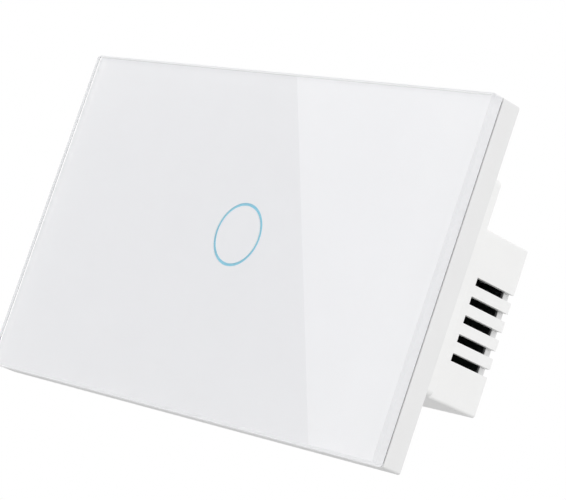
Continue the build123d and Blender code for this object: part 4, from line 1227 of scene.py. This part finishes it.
@dataclass(frozen=True)
class Studio:
    """Camera, lamps, floor and world."""

    camera_place: Vector = Vector((0.35483, -0.31346, -0.06294))
    camera_target: Vector = Vector((0.01877, -0.0099, -0.00017))
    camera_roll: float = 18.73
    focal_length: float = 149.47
    sensor_width: float = 36.0
    nearest: float = 0.01
    floor_height: float = -0.12
    floor_size: float = 6.0
    floor_cloud: float = 0.2
    floor_tone: Colour = (1.0, 1.0, 1.0)
    floor_tints: Point = (0.77, 0.79)
    floor_bounce: Colour = (0.55, 0.55, 0.55)
    floor_roughness: float = 0.6
    fade_start: float = 0.5
    fade_end: float = 2.2
    ambient: float = 1.0
    light_bounces: int = 16
    key_edge_top: Vector = Vector((-0.437, -0.396, 0.154))
    key_edge_foot: Vector = Vector((-0.390, -0.426, 0.006))
    key_margin: float = 0.09
    key_width: float = 0.19
    key_radiance: float = 0.95
    side_place: Vector = Vector((2.1, 0.75, 0.42))
    side_size: tuple[float, float] = (1.2, 1.05)
    side_radiance: float = 2.35

    def place_camera(self) -> None:
        """Sets the camera where the photograph was taken from."""
        data = bpy.data.cameras.new("camera")
        data.lens = self.focal_length
        data.sensor_width = self.sensor_width
        data.clip_start = self.nearest
        camera = bpy.data.objects.new("camera", data)
        bpy.context.scene.collection.objects.link(camera)
        ahead = (self.camera_target - self.camera_place).normalized()
        level = ahead.to_track_quat("-Z", "Y").to_matrix().to_4x4()
        roll = Matrix.Rotation(radians(self.camera_roll), 4, "Z")
        camera.matrix_world = Matrix.Translation(self.camera_place) @ level @ roll
        bpy.context.scene.camera = camera

    def hang_lamp(self, name: str, place: Vector, size: Sequence[float], radiance: float, up: Vector) -> None:
        """Hangs a soft rectangular lamp that faces the switch and isn't seen itself.

        Args:
            name: the lamp's name.
            place: the middle of the lamp.
            size: its width and height.
            radiance: how bright its face is.
            up: the direction of its height.
        """
        data = bpy.data.lights.new(name, "AREA")
        data.shape = "RECTANGLE"
        data.size, data.size_y = size
        data.energy = radiance * size[0] * size[1] * pi
        lamp = bpy.data.objects.new(name, data)
        lamp.visible_camera = False
        bpy.context.scene.collection.objects.link(lamp)
        side = up.cross(place).normalized()
        turn = Matrix((side, up, side.cross(up))).transposed().to_4x4()
        lamp.matrix_world = Matrix.Translation(place) @ turn

    def hang_key_lamp(self) -> None:
        """Hangs the lamp whose left edge shows in the glass, slanted as that edge is."""
        edge = self.key_edge_top - self.key_edge_foot
        up = edge.normalized()
        middle = (self.key_edge_top + self.key_edge_foot) / 2
        place = middle + up.cross(middle).normalized() * self.key_width / 2
        size = (self.key_width, edge.length + 2 * self.key_margin)
        self.hang_lamp("key_lamp", place, size, self.key_radiance, up)

    def lay_floor(self) -> None:
        """Lays a plain pale floor under the switch, which fades to white far off and is clear from below."""
        clear_selection()
        bpy.ops.mesh.primitive_plane_add(size=self.floor_size, location=(0, 0, self.floor_height))
        floor = bpy.context.active_object
        floor.name = "floor"
        graph = Graph(bpy.data.materials.new("floor"))
        shown = graph.shown()
        pale = graph.ramp(graph.noise(self.floor_cloud), self.floor_tone, self.floor_tints)
        graph.join(graph.mixed(shown, self.floor_bounce, pale), graph.shader.inputs["Base Color"])
        graph.set(Roughness=self.floor_roughness)
        away = graph.add("ShaderNodeVectorMath", {0: graph.place()}, operation="LENGTH").outputs["Value"]
        fade = graph.spread(away, "From", self.fade_start, self.fade_end, interpolation_type="SMOOTHSTEP")
        white = graph.add("ShaderNodeEmission").outputs[0]
        clear = graph.add("ShaderNodeBsdfTransparent").outputs[0]
        below = graph.add("ShaderNodeNewGeometry").outputs["Backfacing"]
        faded = graph.blend(graph.work_out("MULTIPLY", fade, shown), graph.shader.outputs[0], white)
        surface = graph.tree.nodes["Material Output"].inputs["Surface"]
        graph.join(graph.blend(below, faded, clear), surface)
        floor.data.materials.append(graph.material)

    def light_world(self) -> None:
        """Lights the switch from all round, with a white background."""
        world = bpy.data.worlds.new("studio")
        bpy.context.scene.world = world
        graph = Graph(world, "Background")
        white = graph.add("ShaderNodeBackground", {"Color": (1, 1, 1, 1)})
        graph.set(Strength=self.ambient, Color=(1.0, 1.0, 1.0))
        look = graph.blend(graph.shown(), graph.shader.outputs[0], white.outputs[0])
        graph.join(look, graph.tree.nodes["World Output"].inputs["Surface"])

    def follow_light(self) -> None:
        """Follows light as often as it goes to and fro between the enamel and the front of the glass."""
        cycles = bpy.context.scene.cycles
        cycles.max_bounces = 2 * self.light_bounces
        for kind in ("diffuse", "glossy", "transmission"):
            setattr(cycles, f"{kind}_bounces", self.light_bounces)
        cycles.blur_glossy = 0.0

    def build(self) -> None:
        """Sets up the whole studio."""
        self.place_camera()
        self.hang_key_lamp()
        self.hang_lamp("side_lamp", self.side_place, self.side_size, self.side_radiance, Vector((0, 0, 1)))
        self.lay_floor()
        self.light_world()
        self.follow_light()


def main() -> None:
    """Builds the dressed switch and its studio."""
    logging.basicConfig(level=logging.INFO, format="%(name)s: %(message)s")
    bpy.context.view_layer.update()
    kit = Kit()
    kit.dress_nodes()
    EnamelCoat(kit).build()
    TouchBoard(kit).build()
    for node in ("touch_chip", "converter_chip", "bridge_rectifier"):
        Chip(kit, node).build()
    CoilWinding(kit).build()
    for node in ("bulk_capacitors", "output_capacitor"):
        Cans(kit, node).build()
    SolderJoints(kit).build()
    ThreadedScrews(kit, "case_screws", "base", 1.3 * MM, 1.4 * MM, Facing.FRONT).build()
    ThreadedScrews(kit, "cover_screws", "base", 1.3 * MM, 0.9 * MM, Facing.BACK).build()
    ThreadedScrews(kit, "board_screws", "base", 1.0 * MM, 1.2 * MM, Facing.FRONT).build()
    fine_thread = {"pitch": 0.5 * MM, "ridge": 0.16 * MM, "point": 0.3 * MM}
    for number in (1, 2, 3):
        node, body = f"terminal_screw_{number}", f"screw_{number}"
        ThreadedScrews(kit, node, body, 1.5 * MM, 1.7 * MM, Facing.BACK, **fine_thread).build()
    Studio().build()
    bpy.context.scene.view_settings.view_transform = "Standard"


if __name__ == "__main__":
    main()
